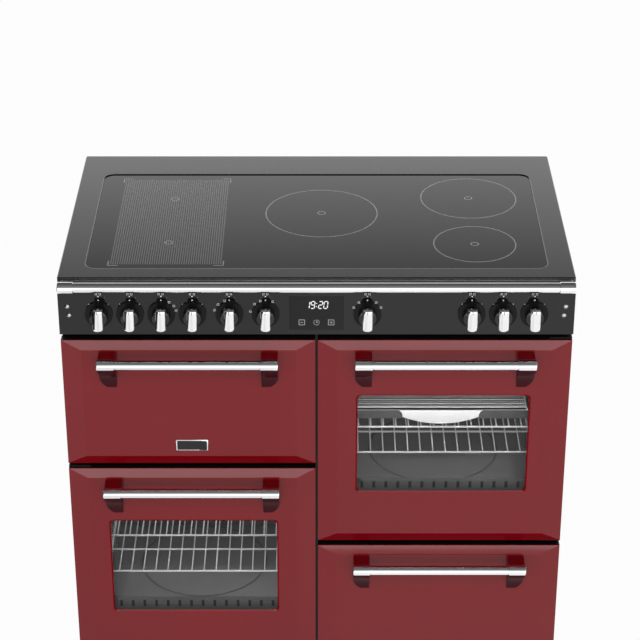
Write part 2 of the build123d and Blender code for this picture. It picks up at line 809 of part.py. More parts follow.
pan_door = doors["second"]
pan_lip_z = runner_z(pan_door, pan_level) + runner_rod_radius + seat_clearance
pan_x = around(mid(pan_door["oven_x"]), pan_half_width)
pan_y = (mouth_y + pan_front, mouth_y + pan_front + pan_depth)
pan_z = (pan_lip_z + pan_rim_rise - pan_height, pan_lip_z + pan_rim_rise)

with BuildPart() as grill_pan:
    block(pan_x, pan_y, pan_z)
    block(around(mid(pan_x), shelf_half_width), pan_y, (pan_lip_z, pan_lip_z + pan_lip_sheet))
    block(grow(pan_x, -pan_wall), grow(pan_y, -pan_wall), (pan_z[0] + pan_wall, pan_z[1]), Mode.SUBTRACT)
    with BuildSketch(front_plane(mid(pan_x), pan_y[0], pan_z[1])):
        with BuildLine():
            rim_end = pan_plate_width / 2
            waist = rim_end - pan_plate_flare
            half_turn = radians(45)
            bend_x = rim_end - pan_plate_flare * sin(half_turn)
            bend_z = pan_plate_hollow * (cos(half_turn) - 1)
            foot_z = -pan_plate_hollow - pan_plate_belly
            Line((-rim_end, 0), (rim_end, 0))
            ThreePointArc((rim_end, 0), (bend_x, bend_z), (waist, -pan_plate_hollow))
            ThreePointArc((waist, -pan_plate_hollow), (0, foot_z), (-waist, -pan_plate_hollow))
            ThreePointArc((-waist, -pan_plate_hollow), (-bend_x, bend_z), (-rim_end, 0))
        make_face()
    extrude(amount=pan_plate_sheet)
save(grill_pan.part, "grill_pan")

with BuildPart() as grill_trivet:
    trivet_x = grow(pan_x, -trivet_inset)
    trivet_y = grow(pan_y, trivet_rod_radius)
    trivet_z = pan_z[1] + seat_clearance + trivet_rod_radius
    for rod_end_x in trivet_x:
        rod_y(rod_end_x, trivet_y, trivet_z, trivet_rod_radius)
    for wire in range(trivet_wire_count):
        wire_y = pan_y[0] + trivet_inset + wire * (pan_depth - 2 * trivet_inset) / (trivet_wire_count - 1)
        rod_x(trivet_x, wire_y, trivet_z, trivet_wire_radius)
save(grill_trivet.part, "grill_trivet")


# Doors: outer panel, liner, glazing and handle
def drop_arms(door):
    return grow(door["x"], -drop_arm_inset)


def drop_pivot_z(door):
    return door["z"][0] + drop_pivot_rise


def side_pivot_x(door):
    return door["side"] * (half_width - side_pivot_inset)


def outer_panel(door):
    x, z = door["x"], door["z"]
    edge = front_plane(mid(x), door_y, mid(z))
    field_width = extent(x) - 2 * bevel_side
    field_height = extent(z) - 2 * bevel_top
    back_y = door_y + door_return
    with BuildPart() as panel:
        block(x, (door_y, back_y), z)
        with BuildSketch(edge):
            Rectangle(extent(x), extent(z))
        with BuildSketch(edge.offset(field_proud)):
            Rectangle(field_width, field_height)
        loft()
        # Hollow behind the skin, with a flange left round the back
        inside_x, inside_z = grow(x, -door_skin), grow(z, -door_skin)
        block(inside_x, (door_y, back_y - door_skin), inside_z, Mode.SUBTRACT)
        block(grow(x, -door_flange), (door_y, back_y), grow(z, -door_flange), Mode.SUBTRACT)
        with BuildSketch(edge):
            Rectangle(extent(inside_x), extent(inside_z))
        with BuildSketch(edge.offset(field_proud - door_skin)):
            Rectangle(field_width, field_height)
        loft(mode=Mode.SUBTRACT)
        if door["window"]:
            with BuildSketch(edge.offset(field_proud)):
                RectangleRounded(window_width, window_height, window_corner_radius)
            extrude(amount=-field_proud, mode=Mode.SUBTRACT)
        if door["drops"]:
            drop_lugs(door)
        else:
            side_bushes(door)
    return panel


def drop_lugs(door):
    # Two lugs either side of each hinge arm, and a slot for the arm
    floor_z = door["z"][0] + door_skin
    lug_y = (pivot_y - drop_arm_height / 2 - lug_gap, door_y + door_return - door_skin)
    for arm_x in drop_arms(door):
        slot_x = around(arm_x, drop_arm_width / 2 + lug_gap)
        slot_y = (pivot_y - drop_arm_height / 2 - slot_clearance, door_y + door_return)
        block(slot_x, slot_y, (door["z"][0], floor_z + lug_height), Mode.SUBTRACT)
        for lug_x in ((slot_x[0] - lug_width, slot_x[0]), (slot_x[1], slot_x[1] + lug_width)):
            block(lug_x, lug_y, (floor_z, floor_z + lug_height))
        bore_x = grow(slot_x, lug_width)
        rod_x(bore_x, pivot_y, drop_pivot_z(door), pin_radius + running_clearance, Mode.SUBTRACT)


def side_bushes(door):
    # A bored block inside the top and bottom corners of the hinged edge
    bush_x = around(side_pivot_x(door), min(bush_width / 2, side_pivot_inset - door_skin))
    bush_y = around(pivot_y, min(bush_depth / 2, door_return - door_skin - pivot_depth))
    for outer_z, inward in ((door["z"][0], 1), (door["z"][1], -1)):
        bush_z = sorted((outer_z, outer_z + inward * (door_skin + bush_height)))
        block(bush_x, bush_y, bush_z)
        rod_z(side_pivot_x(door), pivot_y, bush_z, pin_radius + running_clearance, Mode.SUBTRACT)


def inner_liner(door):
    x, z = grow(door["x"], -liner_inset), grow(door["z"], -liner_inset)
    tray_front_y = door_y + door_return
    window_z = around(mid(door["z"]), window_height / 2)
    with BuildPart() as liner:
        block(x, (tray_front_y, liner_back_y), z)
        hollow_y = (tray_front_y, liner_back_y - liner_sheet)
        block(grow(x, -liner_sheet), hollow_y, grow(z, -liner_sheet), Mode.SUBTRACT)
        if door["window"]:
            opening_z = (window_z[0] + liner_window_cut, window_z[1])
            with BuildSketch(front_plane(mid(x), liner_back_y, mid(opening_z))):
                RectangleRounded(window_width, extent(opening_z), window_corner_radius)
            extrude(amount=liner_sheet, mode=Mode.SUBTRACT)
            slot_z = window_z[0] + (liner_window_cut - liner_slot_height) / 2
            with BuildSketch(front_plane(mid(x), liner_back_y, slot_z)):
                with GridLocations(liner_slot_pitch, liner_slot_pitch, liner_slot_count, 1):
                    Rectangle(liner_slot_width, liner_slot_height)
            extrude(amount=liner_sheet, mode=Mode.SUBTRACT)
        if door["drops"]:
            for arm_x in drop_arms(door):
                notch_x = around(arm_x, drop_arm_width / 2 + slot_clearance)
                notch_top_z = drop_pivot_z(door) + drop_arm_height / 2 + 2 * slot_clearance
                block(notch_x, (tray_front_y, liner_back_y), (z[0], notch_top_z), Mode.SUBTRACT)
    return liner


def glazing(door):
    # The outer pane behind the panel's skin and the inner pane in front of the liner
    pane_x = around(mid(door["x"]), window_width / 2 + window_lap)
    pane_z = around(mid(door["z"]), window_height / 2 + window_lap)
    outer_y = field_y + door_skin
    inner_y = liner_back_y - liner_sheet
    inner_z = (pane_z[0] + liner_window_cut, pane_z[1])
    with BuildPart() as panes:
        block(pane_x, (outer_y, outer_y + window_sheet), pane_z)
        block(pane_x, (inner_y - window_sheet, inner_y), inner_z)
    return panes


def handle(door):
    bar_x = around(mid(door["x"]), handle_length / 2)
    bar_y = field_y - handle_standoff
    bar_z = door["z"][1] - handle_drop
    bar, ferrules = round_bar(bar_x, bar_y, bar_z, handle_radius, ferrule_radius, ferrule_length)
    under_z = bar_z - ferrule_radius - post_lip
    foot_y = field_y - post_foot
    foot_z = bar_z - post_bottom
    bend = ((bar_y + foot_y) / 2 + post_hollow, (under_z + foot_z) / 2 + post_hollow)
    post_margin = (ferrule_length - post_width) / 2
    with BuildPart() as posts:
        for outer_x, inward in ((bar_x[0] + post_margin, 1), (bar_x[1] - post_margin, -1)):
            with BuildSketch(Plane.YZ.offset(min(outer_x, outer_x + inward * post_width))):
                with BuildLine():
                    Polyline((foot_y, foot_z), (field_y, foot_z), (field_y, bar_z + post_top))
                    Line((field_y, bar_z + post_top), (bar_y, bar_z + post_top))
                    Line((bar_y, bar_z + post_top), (bar_y, under_z))
                    ThreePointArc((bar_y, under_z), bend, (foot_y, foot_z))
                make_face()
            extrude(amount=post_width)
            with BuildSketch(front_plane(outer_x, field_y, foot_z)):
                with BuildLine():
                    tip_x = inward * post_taper_width
                    half_way = 1 - cos(radians(45))
                    bow = (tip_x * half_way, post_taper_height * half_way)
                    ThreePointArc((0, post_taper_height), bow, (tip_x, 0))
                    Polyline((tip_x, 0), (tip_x, -cut_margin), (-inward * cut_margin, -cut_margin))
                    Line((-inward * cut_margin, -cut_margin), (-inward * cut_margin, post_taper_height))
                    Line((-inward * cut_margin, post_taper_height), (0, post_taper_height))
                make_face()
            extrude(amount=handle_standoff + ferrule_radius, mode=Mode.SUBTRACT)
        rod_x(bar_x, bar_y, bar_z, ferrule_radius, Mode.SUBTRACT)
    return gather(bar, ferrules, posts)


for name, door in doors.items():
    save(outer_panel(door).part, f"{name}_door_panel")
    save(inner_liner(door).part, f"{name}_door_liner")
    save(handle(door), f"{name}_door_handle")
    if door["window"]:
        save(glazing(door).part, f"{name}_door_glass")

with BuildPart() as hinge_brackets:
    for door in doors.values():
        if door["drops"]:
            for arm_x in drop_arms(door):
                arm_z = around(drop_pivot_z(door), drop_arm_height / 2)
                block(around(arm_x, drop_arm_width / 2), (pivot_y, frame_y), arm_z)
                rod_x(around(arm_x, drop_arm_width / 2), pivot_y, drop_pivot_z(door), drop_arm_height / 2)
                pin_x = around(arm_x, drop_arm_width / 2 + lug_gap + lug_width)
                rod_x(pin_x, pivot_y, drop_pivot_z(door), pin_radius)
        else:
            bracket_x = on_side((half_width - side_bracket_width, half_width), door["side"])
            bracket_y = (pivot_y - side_bracket_nose, frame_y)
            for outer_z, outward in ((door["z"][0], -1), (door["z"][1], 1)):
                near_z = outer_z + outward * side_bracket_gap
                far_z = near_z + outward * side_bracket_sheet
                block(bracket_x, bracket_y, sorted((near_z, far_z)))
                pin_z = sorted((far_z, outer_z - outward * side_pin_length))
                rod_z(side_pivot_x(door), pivot_y, pin_z, pin_radius)
save(hinge_brackets.part, "hinge_brackets")

with BuildPart() as door_seals:
    for door in doors.values():
        seal_y = (liner_back_y + seat_clearance, frame_y)
        outer = seal_inner + seal_width
        block(grow(door["oven_x"], outer), seal_y, grow(door["oven_z"], outer))
        block(grow(door["oven_x"], seal_inner), seal_y, grow(door["oven_z"], seal_inner), Mode.SUBTRACT)
save(door_seals.part, "door_seals")
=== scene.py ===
import json
import math
import bmesh
import bpy
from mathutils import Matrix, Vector

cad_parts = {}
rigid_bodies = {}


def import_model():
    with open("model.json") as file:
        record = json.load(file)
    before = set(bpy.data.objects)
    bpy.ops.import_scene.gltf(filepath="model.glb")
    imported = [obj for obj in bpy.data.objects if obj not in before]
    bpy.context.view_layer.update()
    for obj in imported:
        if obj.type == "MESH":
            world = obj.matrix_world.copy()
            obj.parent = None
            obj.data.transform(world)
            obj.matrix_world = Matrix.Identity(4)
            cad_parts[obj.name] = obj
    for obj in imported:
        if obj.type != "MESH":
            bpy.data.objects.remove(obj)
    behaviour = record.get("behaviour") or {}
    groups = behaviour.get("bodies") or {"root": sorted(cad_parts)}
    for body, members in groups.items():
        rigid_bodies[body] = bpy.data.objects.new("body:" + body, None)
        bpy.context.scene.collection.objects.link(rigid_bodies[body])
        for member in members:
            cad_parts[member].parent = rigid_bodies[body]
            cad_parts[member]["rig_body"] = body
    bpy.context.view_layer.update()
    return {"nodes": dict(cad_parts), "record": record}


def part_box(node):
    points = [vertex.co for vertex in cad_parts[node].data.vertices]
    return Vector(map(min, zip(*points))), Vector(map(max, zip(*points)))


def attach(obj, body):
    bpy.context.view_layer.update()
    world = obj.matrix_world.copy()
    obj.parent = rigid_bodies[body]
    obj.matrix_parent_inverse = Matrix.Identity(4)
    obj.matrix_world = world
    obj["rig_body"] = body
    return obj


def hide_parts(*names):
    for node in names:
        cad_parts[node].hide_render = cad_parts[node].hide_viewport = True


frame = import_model()
nodes = frame["nodes"]
scene = bpy.context.scene
mm = 0.001
print("frame loaded:", len(nodes), "nodes")


# Shading: a wrapped socket does arithmetic, and one method makes every other node

class Link:
    def __init__(self, shades, socket):
        self.shades = shades
        self.socket = socket

    def maths(self, operation, first, second):
        return self.shades.node("ShaderNodeMath", {"operation": operation}, {0: first, 1: second})

    def __add__(self, other):
        return self.maths("ADD", self, other)

    def __sub__(self, other):
        return self.maths("SUBTRACT", self, other)

    def __rsub__(self, other):
        return self.maths("SUBTRACT", other, self)

    def __mul__(self, other):
        return self.maths("MULTIPLY", self, other)

    def __truediv__(self, other):
        return self.maths("DIVIDE", self, other)

    def __gt__(self, other):
        return self.maths("GREATER_THAN", self, other)

    __radd__ = __add__
    __rmul__ = __mul__


class Shades:
    def __init__(self, tree):
        self.tree = tree

    def node(self, kind, settings=None, sockets=None, output=0):
        made = self.tree.nodes.new(kind)
        for key, value in (settings or {}).items():
            if key == "stops":
                self.stops(made.color_ramp, value)
            else:
                setattr(made, key, value)
        for key, value in (sockets or {}).items():
            self.feed(made.inputs[key], value)
        return Link(self, made.outputs[output])

    def stops(self, ramp, stops):
        while len(ramp.elements) < len(stops):
            ramp.elements.new(1.0)
        for element, (place, level) in zip(ramp.elements, stops):
            element.position = place
            element.color = (level, level, level, 1)

    def feed(self, target, value):
        if isinstance(value, Link):
            self.tree.links.new(value.socket, target)
        else:
            target.default_value = value

    def coords(self):
        return self.node("ShaderNodeTexCoord", output="Object")

    def noise(self, scale, detail=2.0, stretch=(1, 1, 1)):
        # Scale is in features per metre
        place = self.node("ShaderNodeMapping", None, {"Vector": self.coords(), "Scale": stretch})
        return self.node("ShaderNodeTexNoise", None, {"Vector": place, "Scale": scale, "Detail": detail})

    def blend(self, share, first, second):
        return self.node("ShaderNodeMix", {"data_type": "RGBA"}, {0: share, 6: first, 7: second}, 2)

    def bump(self, height, strength, depth):
        sockets = {"Strength": strength, "Distance": depth, "Height": height}
        return self.node("ShaderNodeBump", None, sockets)


def finish(name, sockets):
    # A Principled material with plain values; the caller feeds what varies
    material = bpy.data.materials.new(name)
    material.use_nodes = True
    shades = Shades(material.node_tree)
    shades.shader = material.node_tree.nodes["Principled BSDF"]
    shades.material = material
    surface(shades, sockets)
    return shades


def surface(shades, sockets):
    for key, value in sockets.items():
        shades.feed(shades.shader.inputs[key], value)


def rgb(red, green, blue):
    return (red, green, blue, 1.0)


def grey(level):
    return rgb(level, level, level)


def mottled(name, sockets, drift, dark, pale, rough, grain=None, relief=None):
    # The colour drifts from dark to pale, and the roughness follows the grain, or else the drift.
    # Drift and grain: features per metre, detail and stretch. Rough: spread and least value
    made = finish(name, sockets)
    cloud = made.noise(*drift)
    fine = made.noise(*grain) if grain else cloud
    spread, least = rough
    surface(made, {"Base Color": made.blend(cloud, dark, pale), "Roughness": fine * spread + least})
    if relief:
        surface(made, {"Normal": made.bump(fine, *relief)})
    return made.material


def redEnamel(name="redEnamel", coat=1.0, depth=1.0):
    deep, bright = rgb(0.162 * depth, 0.0010, 0.0040), rgb(0.196 * depth, 0.0014, 0.0052)
    made = finish(name, {
        "Roughness": 0.38, "Specular IOR Level": 0.12 * coat,
        "Coat Weight": coat, "Coat Roughness": 0.035, "Coat IOR": 1.38,
    })
    surface(made, {
        "Base Color": made.blend(made.noise(6.0, 3.0), deep, bright),
        "Normal": made.bump(made.noise(420.0, 1.0), 0.05, 0.4 * mm),
    })
    return made.material


def polishedChrome(name="polishedChrome", shine=0.05):
    dull, bright = rgb(0.84, 0.85, 0.87), rgb(0.92, 0.93, 0.94)
    return mottled(name, {"Metallic": 1.0}, (90.0, 3.0), dull, bright, (0.05, shine))


def hobEnamel():
    return mottled(
        "hobEnamel", {"IOR": 1.62}, (40.0,), grey(0.007), grey(0.010), (0.06, 0.12),
        grain=(1500.0,), relief=(0.03, 0.2 * mm),
    )


def ceramicGlass():
    smear = (9.0, 4.0, (1.0, 0.4, 1.0))
    return mottled("ceramicGlass", {"IOR": 1.46}, smear, grey(0.003), grey(0.0045), (0.03, 0.02))


def blackGloss():
    shine = {"Specular IOR Level": 0.45}
    return mottled("blackGloss", shine, (30.0, 3.0), grey(0.0045), grey(0.007), (0.04, 0.05))


def smokedWindow():
    shine = {"Specular IOR Level": 0.4, "IOR": 1.46}
    dark, pale = rgb(0.002, 0.002, 0.0025), rgb(0.003, 0.003, 0.004)
    return mottled("smokedWindow", shine, (60.0,), dark, pale, (0.02, 0.015))


def speckledEnamel(name="speckledEnamel", ground=0.11):
    # Vitreous enamel: a dark ground with fine pale specks
    made = finish(name, {})
    specks = made.noise(1300.0, 1.0) > 0.68
    drift = made.noise(12.0, 3.0)
    base = made.blend(drift, grey(ground * 0.85), grey(ground * 1.15))
    surface(made, {
        "Base Color": made.blend(specks * 0.08, base, grey(0.32)),
        "Roughness": drift * 0.10 + 0.34,
    })
    return made.material


def platedWire():
    return mottled("platedWire", {"Metallic": 1.0}, (140.0, 3.0), grey(0.76), grey(0.90), (0.10, 0.26))


def windowPane():
    # Clear glass with a smoky tint: what it reflects follows the viewing angle, the rest passes
    made = finish("windowPane", {"Roughness": 0.02, "Base Color": grey(0.02)})
    through = made.node("ShaderNodeBsdfTransparent", None, {"Color": grey(0.935)})
    mirror = made.node("ShaderNodeBsdfGlossy", None, {"Color": grey(0.9), "Roughness": 0.015})
    inside = made.node("ShaderNodeNewGeometry", output="Backfacing")
    edge = made.node("ShaderNodeFresnel", None, {"IOR": 1.28}) * (1.0 - inside)
    both = made.node("ShaderNodeMixShader", None, {0: edge, 1: through, 2: mirror})
    made.feed(made.tree.nodes["Material Output"].inputs["Surface"], both)
    return made.material


def galvanised():
    made = finish("galvanised", {"Metallic": 1.0})
    spangle = made.node("ShaderNodeTexVoronoi", None, {"Vector": made.coords(), "Scale": 110.0}, "Color")
    level = made.node("ShaderNodeRGBToBW", None, {0: spangle})
    surface(made, {
        "Base Color": made.blend(level, rgb(0.42, 0.43, 0.44), rgb(0.62, 0.63, 0.64)),
        "Roughness": level * 0.16 + 0.34,
    })
    return made.material


def powderCoat(name, level, rough):
    return mottled(
        name, {"Specular IOR Level": 0.4}, (7.0, 3.0), grey(level * 0.8), grey(level * 1.2), (0.12, rough),
        grain=(1100.0,), relief=(0.10, 0.3 * mm),
    )


def brightSteel(name, dark, pale, rough):
    brushed = (60.0, 4.0, (1.0, 8.0, 8.0))
    return mottled(name, {"Metallic": 1.0}, brushed, dark, pale, (0.15, rough))


def mouldedBlack(name="mouldedBlack", rough=0.30, shine=0.5):
    return mottled(
        name, {"Specular IOR Level": shine}, (25.0,), grey(0.006), grey(0.011), (0.08, rough),
        grain=(1400.0,), relief=(0.05, 0.2 * mm),
    )


def softRubber():
    dull = {"Specular IOR Level": 0.3}
    relief = (0.15, 0.3 * mm)
    return mottled("softRubber", dull, (700.0, 3.0), grey(0.012), grey(0.024), (0.15, 0.55), relief=relief)


def printedInk(name, level, rough=0.4):
    return mottled(name, {"IOR": 1.46}, (60.0,), grey(level * 0.9), grey(level), (rough * 0.5, rough))


def litDigits():
    made = finish("litDigits", {"Base Color": grey(0.02), "Roughness": 0.4, "Emission Strength": 1.0})
    flicker = made.noise(300.0)
    surface(made, {"Emission Color": made.blend(flicker, rgb(0.88, 0.92, 1.0), rgb(1.0, 1.0, 1.0))})
    return made.material


def whiteEnamel():
    shine = {"Coat Weight": 0.6, "Coat Roughness": 0.05}
    return mottled("whiteEnamel", shine, (30.0,), grey(0.86), grey(0.92), (0.1, 0.25))


def mineralWool():
    return mottled(
        "mineralWool", {"Specular IOR Level": 0.1}, (350.0, 5.0, (1.0, 3.0, 1.0)),
        rgb(0.45, 0.40, 0.28), rgb(0.78, 0.74, 0.60), (0.1, 0.85), relief=(0.5, 2 * mm),
    )


looks = {
    "door_red": redEnamel(),
    "oven_enamel": speckledEnamel(),
    "chrome": polishedChrome(),
    "shelf_chrome": platedWire(),
    "window_glass": windowPane(),
    "galvanised": galvanised(),
    "aluminium": brightSteel("rolledAluminium", grey(0.62), grey(0.78), 0.22),
    "circuit_board": powderCoat("boardLaminate", 0.05, 0.4),
    "carcass_black": powderCoat("satinBlack", 0.012, 0.36),
    "frame_black": powderCoat("frameBlack", 0.006, 0.22),
    "steel": brightSteel("zincPlate", grey(0.45), rgb(0.62, 0.63, 0.66), 0.24),
    "black_plastic": mouldedBlack(),
    "hob_enamel": hobEnamel(),
    "hob_glass": ceramicGlass(),
    "copper": brightSteel("copperWinding", rgb(0.45, 0.17, 0.07), rgb(0.70, 0.33, 0.17), 0.25),
    "fascia_gloss": blackGloss(),
    "display_gloss": smokedWindow(),
    "insulation_wool": mineralWool(),
    "element_steel": brightSteel("elementSheath", grey(0.09), rgb(0.22, 0.21, 0.20), 0.34),
    "seal_rubber": softRubber(),
    "knob_black": mouldedBlack("knobBlack", 0.10),
    "pan_enamel": speckledEnamel("panEnamel", 0.06),
}
# Painted shade: a darker red with almost no coat, for faces that would mirror the dark floor close in front
redPaintedShade = redEnamel("redPaintedShade", 0.05, 0.9)
# Painted shade: a much darker red for the handle posts below the bar
postPaintedShade = redEnamel("postPaintedShade", 0.30, 0.22)
# Painted light: a paler copy of the oven enamel for the floors
floorPaintedLight = speckledEnamel("floorPaintedLight", 0.20)
bezelBlack = mouldedBlack("bezelBlack", 0.12, 0.14)
trivetSteel = brightSteel("trivetSteel", grey(0.09), grey(0.14), 0.36)
railSteel = brightSteel("railSteel", grey(0.42), grey(0.54), 0.22)
screwSteel = brightSteel("screwSteel", grey(0.42), grey(0.56), 0.16)
hingeBlack = mouldedBlack("hingeBlack", 0.5, 0.1)
# Painted highlight for the hob frame's lip, made with the ink finish
hobInk = printedInk("hobInk", 0.46, 0.04)
bridgeInk = printedInk("bridgeInk", 0.20, 0.04)
lipHighlightPaint = printedInk("lipHighlightPaint", 0.30, 0.1)
dialInk = printedInk("dialInk", 0.72)
iconInk = printedInk("iconInk", 0.30)
touchInk = printedInk("touchInk", 0.07)
digitGlow = litDigits()
plateWhite = whiteEnamel()
gripChrome = polishedChrome("gripChrome", 0.09)
slotOf = {row["node"]: row["material_slot"] for row in frame["record"]["subparts"]}
for node, slotName in slotOf.items():
    coats = nodes[node].data.materials
    coats.clear()
    coats.append(looks[slotName])
print("finishes:", len(bpy.data.materials))


# Mesh helpers

smoothAngle = 40  # degrees; edges that turn more stay hard
weld = {"gap": 0.004 * mm, "flat": 0.4}  # how close doubles are, and how many degrees a flat area may turn


def centreOf(node):
    low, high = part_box(node)
    return (low + high) / 2


def spaced(first, last, count):
    return [first + (last - first) * step / (count - 1) for step in range(count)]


def asObject(name, form, material, smooth=smoothAngle):
    mesh = bpy.data.meshes.new(name)
    form.to_mesh(mesh)
    form.free()
    mesh.polygons.foreach_set("use_smooth", [True] * len(mesh.polygons))
    mesh.set_sharp_from_angle(angle=math.radians(smooth))
    mesh.materials.append(material)
    made = bpy.data.objects.new(name, mesh)
    scene.collection.objects.link(made)
    return made


def settle(piece, body, slotName, *replaced):
    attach(piece, body)
    if replaced:
        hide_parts(*replaced)
    return piece


def bodyOf(node):
    return nodes[node]["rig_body"]


def mergedCopy(node):
    # A welded copy of a carried node, with flat areas as single faces
    form = bmesh.new()
    form.from_mesh(nodes[node].data)
    bmesh.ops.remove_doubles(form, verts=form.verts, dist=weld["gap"])
    limit = math.radians(weld["flat"])
    bmesh.ops.dissolve_limit(form, angle_limit=limit, verts=form.verts, edges=form.edges)
    return form


def keepIslands(form, depth):
    # Deletes every loose island that doesn't reach back past the depth
    left = set(form.verts)
    while left:
        island, front = set(), [left.pop()]
        while front:
            vert = front.pop()
            island.add(vert)
            near = [edge.other_vert(vert) for edge in vert.link_edges]
            front += [other for other in near if other in left]
            left.difference_update(near)
        if max(vert.co.y for vert in island) <= depth:
            bmesh.ops.delete(form, geom=list(island), context="VERTS")


def roundEdges(form, width, sharp=35, steps=2, soft=180):
    # Rounds the edges whose faces meet at between sharp and soft degrees
    low, high = math.radians(sharp), math.radians(soft)
    picked = [edge for edge in form.edges if edge.is_manifold and low < edge.calc_face_angle() < high]
    bmesh.ops.bevel(
        form, geom=picked, offset=width, segments=steps, profile=0.5, affect="EDGES", clamp_overlap=True,
    )


def softened(node, name, width, material=None, **rounding):
    # A carried node with its edges rounded, riding where the node rides
    form = mergedCopy(node)
    roundEdges(form, width, **rounding)
    piece = asObject(name, form, material or looks[slotOf[node]])
    evenNormals(piece)
    return settle(piece, bodyOf(node), slotOf[node], node)


def refinish(piece, material, wanted):
    # Gives the wanted faces of a piece a finish of their own
    piece.data.materials.append(material)
    index = len(piece.data.materials) - 1
    for face in piece.data.polygons:
        if wanted(face):
            face.material_index = index


def evenNormals(piece):
    # Keeps broad faces flat between their rounded edges
    weighted = piece.modifiers.new("evenNormals", "WEIGHTED_NORMAL")
    weighted.keep_sharp = True


def lathe(name, profile, spot, axis, material, steps=64):
    # Turns (along, radius) pairs about an axis through the spot
    form = bmesh.new()
    rings = []
    for along, radius in profile:
        ring = []
        for step in range(steps if radius > 0 else 1):
            turn = math.tau * step / steps
            across, up = radius * math.cos(turn), radius * math.sin(turn)
            offset = (along, across, up) if axis == "X" else (across, along, up)
            ring.append(form.verts.new(Vector(spot) + Vector(offset)))
        rings.append(ring)
    for first, second in zip(rings, rings[1:]):
        for step in range(steps):
            after = (step + 1) % steps
            corners = [first[step % len(first)], first[after % len(first)]]
            corners += [second[after % len(second)], second[step % len(second)]]
            form.faces.new(list(dict.fromkeys(corners)))
    bmesh.ops.recalc_face_normals(form, faces=form.faces)
    return asObject(name, form, material)


def roundedRect(width, height, radius, steps=6):
    # Outline points, anticlockwise from the right
    points = []
    for corner, (sideX, sideZ) in enumerate(((1, 1), (-1, 1), (-1, -1), (1, -1))):
        for step in range(steps + 1):
            turn = math.radians(90 * corner + 90 * step / steps)
            x = sideX * (width / 2 - radius) + radius * math.cos(turn)
            z = sideZ * (height / 2 - radius) + radius * math.sin(turn)
            points.append((x, z))
    return points


def stack(name, layers, material, smooth=smoothAngle, looped=False):
    # Skins a pile of like outlines, and closes both ends or joins the last to the first
    form = bmesh.new()
    rings = [[form.verts.new(point) for point in layer] for layer in layers]
    for first, second in zip(rings, rings[1:] + rings[:looped]):
        for step in range(len(first)):
            after = (step + 1) % len(first)
            form.faces.new((first[step], first[after], second[after], second[step]))
    if not looped:
        form.faces.new(rings[0])
        form.faces.new(rings[-1])
    bmesh.ops.recalc_face_normals(form, faces=form.faces)
    return asObject(name, form, material, smooth)


def frontPlate(name, outline, centre, back, proud, material, edge=0.0):
    # A plate on a front face: its outline in x and z, standing proud of the back plane
    def ring(y, inset):
        return [(centre[0] + inset(x), y, centre[1] + inset(z)) for x, z in outline]

    def shrink(value):
        return value - math.copysign(min(edge, abs(value)), value)

    layers = [ring(back, float), ring(back - proud + edge, float)]
    if edge:
        layers.append(ring(back - proud, shrink))
    return stack(name, layers, material)


def joined(name, pieces):
    form = bmesh.new()
    for piece in pieces:
        form.from_mesh(piece.data)
    material = pieces[0].data.materials[0]
    for piece in pieces:
        bpy.data.objects.remove(piece)
    return asObject(name, form, material)


# Geometry Nodes: a tree with named inputs, and its result as a plain mesh

class Tree:
    def __init__(self, name, **inputs):
        self.group = bpy.data.node_groups.new(name, "GeometryNodeTree")
        sides = self.group.interface
        sides.new_socket("Geometry", in_out="INPUT", socket_type="NodeSocketGeometry")
        for label, kind in inputs.items():
            sides.new_socket(label, in_out="INPUT", socket_type="NodeSocket" + kind)
        sides.new_socket("Finish", in_out="INPUT", socket_type="NodeSocketMaterial")
        sides.new_socket("Geometry", in_out="OUTPUT", socket_type="NodeSocketGeometry")
        self.given = self.group.nodes.new("NodeGroupInput").outputs

    def node(self, kind, settings=None, sockets=None, output=0):
        made = self.group.nodes.new(kind)
        for key, value in (settings or {}).items():
            setattr(made, key, value)
        for key, value in (sockets or {}).items():
            if isinstance(value, bpy.types.NodeSocket):
                self.group.links.new(value, made.inputs[key])
            else:
                made.inputs[key].default_value = value
        return made.outputs[output]

    def row(self):
        # Count points from Start on, a Step apart
        count, start, step = [self.given[label] for label in ("Count", "Start", "Step")]
        line = {"Count": count, "Start Location": start, "Offset": step}
        return self.node("GeometryNodeMeshLine", {"mode": "OFFSET"}, line)

    def spread(self, points, shape):
        # Ends the tree: a copy of the shape at each point, as one mesh
        copies = self.node("GeometryNodeInstanceOnPoints", None, {"Points": points, "Instance": shape})
        real = self.node("GeometryNodeRealizeInstances", None, {0: copies})
        smooth = self.node("GeometryNodeSetShadeSmooth", None, {0: real})
        dressed = self.node("GeometryNodeSetMaterial", None, {0: smooth, "Material": self.given["Finish"]})
        self.group.links.new(dressed, self.group.nodes.new("NodeGroupOutput").inputs[0])
        return self


def grown(name, tree, material, points=((0, 0, 0),), **values):
    # Runs a tree on a few points and keeps the mesh
    mesh = bpy.data.meshes.new(name)
    mesh.from_pydata([tuple(point) for point in points], [], [])
    made = bpy.data.objects.new(name, mesh)
    scene.collection.objects.link(made)
    modifier = made.modifiers.new(name, "NODES")
    modifier.node_group = tree.group
    values["Finish"] = material
    for item in tree.group.interface.items_tree:
        if item.in_out == "INPUT" and item.name in values:
            modifier[item.identifier] = values[item.name]
    settled = made.evaluated_get(bpy.context.evaluated_depsgraph_get())
    made.data = bpy.data.meshes.new_from_object(settled)
    made.modifiers.remove(modifier)
    made.data.set_sharp_from_angle(angle=math.radians(smoothAngle))
    return made


# How many sides the round shapes have
facets = {"wire": 12, "ring": 128, "screwSegments": 20, "screwRings": 10, "arc": 96, "dot": 16}


def wireRowTree():
    # Equal round wires, laid side by side
    tree = Tree("wireRow", Count="Int", Start="Vector", Step="Vector", Run="Vector", Radius="Float")
    path = tree.node("GeometryNodeCurvePrimitiveLine", None, {"End": tree.given["Run"]})
    circle = {"Resolution": facets["wire"], "Radius": tree.given["Radius"]}
    section = tree.node("GeometryNodeCurvePrimitiveCircle", None, circle)
    skin = {"Curve": path, "Profile Curve": section, "Fill Caps": True}
    return tree.spread(tree.row(), tree.node("GeometryNodeCurveToMesh", None, skin))


